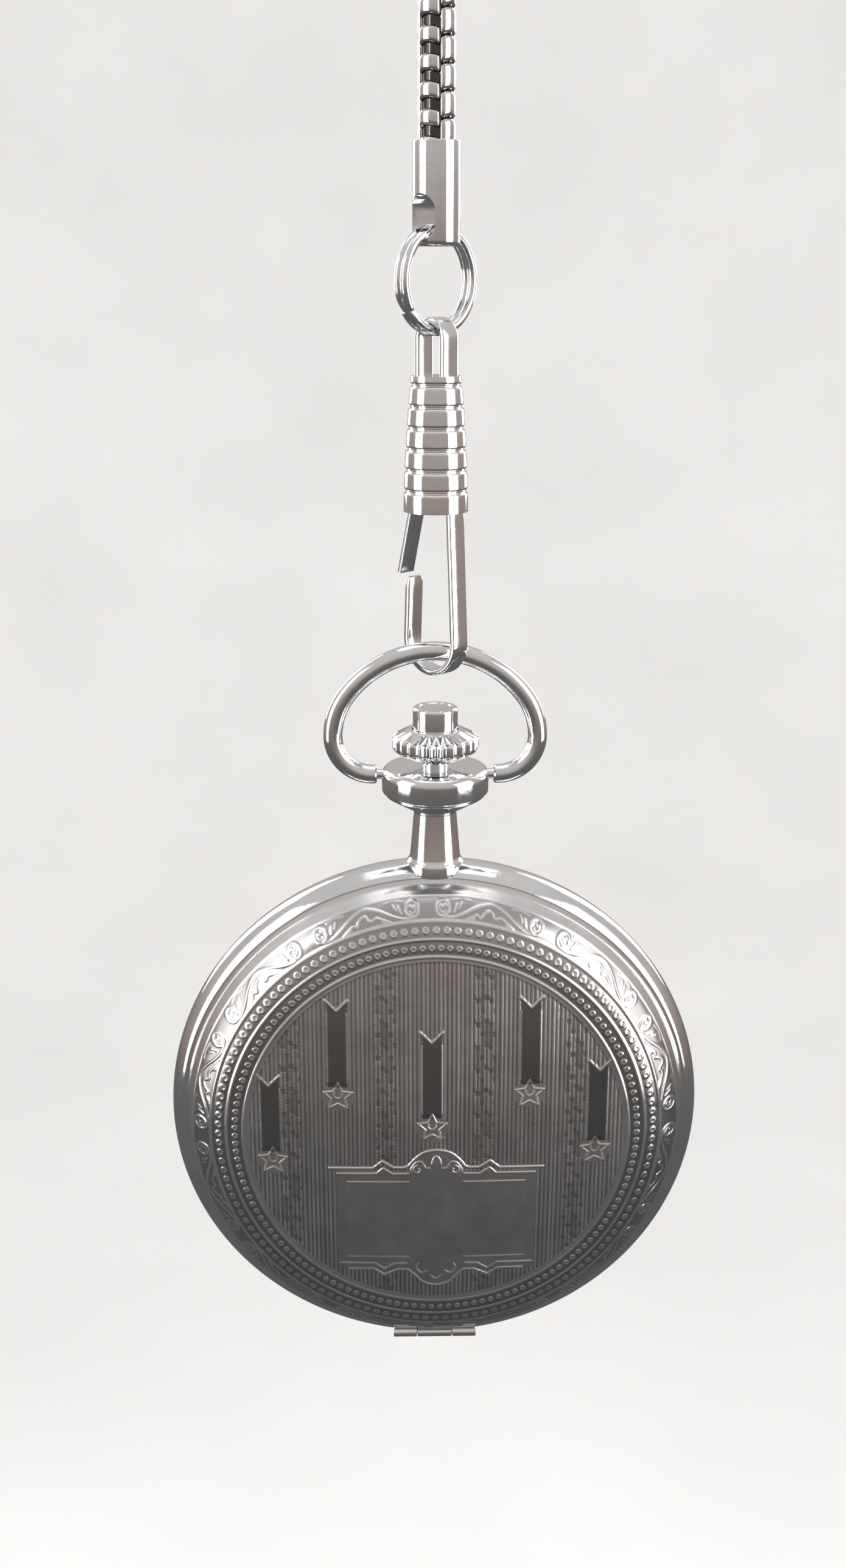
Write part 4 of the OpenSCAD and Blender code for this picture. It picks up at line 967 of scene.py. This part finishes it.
def dial():
    """The dial with its minute track and twelve plain numerals."""
    plate = rounded([
        (DIAL_HOLE_R, DIAL_BACK), (DIAL_R, DIAL_BACK), (DIAL_R, DIAL_FRONT), (DIAL_HOLE_R, DIAL_FRONT)],
        [0, 0.05, 0.05, 0])
    turned("dial_plate", plate, "dial", "case", ["dial"], "front", segs=160)
    v, f = [], []
    for k in range(60):
        w, r0 = HOUR_MARK if k % 5 == 0 else MINUTE_MARK
        t = math.radians(6 * k)
        c, s = math.cos(t), math.sin(t)
        base = len(v)
        for h in (DIAL_FRONT - 0.01, DIAL_FRONT + 0.03):
            for x, y in ((-w, r0), (w, r0), (w, TRACK_R), (-w, TRACK_R)):
                v.append((x * c - y * s, -h, x * s + y * c + CASE_Z))
        sides = ((0, 1, 2, 3), (7, 6, 5, 4), (0, 4, 5, 1), (1, 5, 6, 2), (2, 6, 7, 3), (3, 7, 4, 0))
        f += [tuple(base + i for i in q) for q in sides]
    fix(obj("dial_minute_track", v, f, "ink", "case"))
    for k in range(1, 13):
        curve = bpy.data.curves.new("numeral_%02d" % k, "FONT")
        curve.body = str(k)
        curve.size = NUMERAL_SIZE * MM
        curve.align_x, curve.align_y = "CENTER", "CENTER"
        curve.extrude = 0.02 * MM
        o = bpy.data.objects.new("numeral_%02d" % k, curve)
        SCENE.collection.objects.link(o)
        t = math.radians(30 * k)
        o.location = (NUMERAL_R * math.sin(t) * MM, -(DIAL_FRONT + 0.015) * MM,
                      (CASE_Z + NUMERAL_R * math.cos(t)) * MM)
        o.rotation_euler = (math.radians(90), 0, 0)
        bpy.context.view_layer.update()
        mesh = bpy.data.meshes.new_from_object(o.evaluated_get(bpy.context.evaluated_depsgraph_get()))
        mesh.transform(o.matrix_world)
        bpy.data.objects.remove(o)
        n = bpy.data.objects.new("numeral_%02d" % k, mesh)
        SCENE.collection.objects.link(n)
        mesh.materials.clear()
        mesh.materials.append(MAT["ink"])
        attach(n, "case")


dial()

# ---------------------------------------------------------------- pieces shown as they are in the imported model

SHOWN = {"mineral_glass": "glass", "black_plastic": "black", "white_plastic": "white", "dial_enamel": "dial",
         "blued_steel": "blued", "copper_wire": "copper", "green_board": "board", "chain_steel": "chain"}
slots = {p["node"]: p["material_slot"] for p in frame["record"]["subparts"]}
for name, node in frame["nodes"].items():
    slot = slots[name]
    node.data.materials.clear()
    node.data.materials.append(MAT[SHOWN.get(slot, slot)])
    node.data.shade_smooth()
    node.data.set_sharp_from_angle(angle=math.radians(30))

# ---------------------------------------------------------------- room and light, in metres

ROOM_R, COVE_R, COVE_STEPS, ROOM_H, FLOOR_Z, ROOM_AXIS_R = 3.0, 1.0, 24, 3.6, -1.0, 0.001
ROOM_GLOW = 0.35
TARGET = (0, 0, -0.12)       # the lights' aim


def stage_material(name, low, high):
    m, nodes, links, shader = material(name)
    coord = nodes.new("ShaderNodeTexCoord").outputs["Object"]
    colour = ramp(nodes, links, noise(nodes, links, coord, 3), [(0.3, low), (0.7, high)])
    links.new(colour, shader.inputs["Base Color"])
    links.new(colour, shader.inputs["Emission Color"])
    shader.inputs["Emission Strength"].default_value = ROOM_GLOW
    shader.inputs["Roughness"].default_value = 0.9
    return m


def room():
    """A pale round room: a floor that curves up into its wall."""
    r, h = [ROOM_AXIS_R], [0.0]
    for k in range(COVE_STEPS + 1):
        t = math.pi / 2 * k / COVE_STEPS
        r.append(ROOM_R - COVE_R + COVE_R * math.sin(t))
        h.append(COVE_R - COVE_R * math.cos(t))
    r += [ROOM_R, ROOM_AXIS_R]
    h += [ROOM_H, ROOM_H]
    segs = 96
    a = np.linspace(0, 2 * math.pi, segs, endpoint=False)
    rr, hh = np.array(r)[:, None], np.array(h)[:, None]
    v = np.stack([rr * np.cos(a), rr * np.sin(a), hh + 0 * a + FLOOR_Z], -1).reshape(-1, 3)
    o = obj("floor", v / MM, grid_faces(len(r), segs), "dial", None)
    o.data.materials.clear()
    o.data.materials.append(stage_material("pale_floor", (0.66, 0.655, 0.65), (0.70, 0.695, 0.69)))
    o.visible_glossy = False
    o.visible_shadow = False


room()


def panel(name, at, w, h, power):
    """A soft light that faces the watch."""
    light = bpy.data.lights.new(name, "AREA")
    light.shape, light.size, light.size_y = "RECTANGLE", w, h
    light.energy = power
    o = bpy.data.objects.new(name, light)
    SCENE.collection.objects.link(o)
    o.location = at
    o.rotation_mode = "QUATERNION"
    o.rotation_quaternion = (Vector(TARGET) - Vector(at)).to_track_quat("-Z", "Y")
    o.visible_camera = False


panel("soft_left", (-0.6, -0.2, 0.02), 0.4, 0.8, 1.3)
panel("strip_left", (-0.55, -0.3, 0.0), 0.05, 0.7, 1.0)
panel("soft_right", (0.6, -0.26, 0.02), 0.5, 0.8, 1.8)
panel("strip_right", (0.52, -0.36, 0.0), 0.06, 0.7, 1.2)
panel("soft_top", (0.0, 0.1, 0.75), 0.7, 0.7, 1.0)
panel("soft_back_left", (-0.5, 0.6, 0.1), 0.3, 0.6, 5)
panel("soft_back_right", (0.5, 0.6, 0.1), 0.3, 0.6, 5)

world = bpy.data.worlds.new("world")
SCENE.world = world
world.use_nodes = True
wn, wl = world.node_tree.nodes, world.node_tree.links
direction = wn.new("ShaderNodeTexCoord").outputs["Generated"]
split = wn.new("ShaderNodeSeparateXYZ")
wl.new(direction, split.inputs[0])
height = wn.new("ShaderNodeMapRange")
height.inputs["From Min"].default_value, height.inputs["From Max"].default_value = -1, 1
wl.new(split.outputs["Z"], height.inputs["Value"])
sky = ramp(wn, wl, height.outputs["Result"], [
    (0.0, (0.10, 0.10, 0.10)), (0.25, (0.12, 0.125, 0.125)), (0.33, (0.15, 0.145, 0.14)),
    (0.4, (0.27, 0.215, 0.195)), (0.48, (0.36, 0.31, 0.285)), (0.58, (0.5, 0.47, 0.455)),
    (1.0, (0.62, 0.615, 0.61))])
wl.new(sky, wn["Background"].inputs["Color"])
wn["Background"].inputs["Strength"].default_value = 1.0
SCENE.view_settings.view_transform = "Standard"
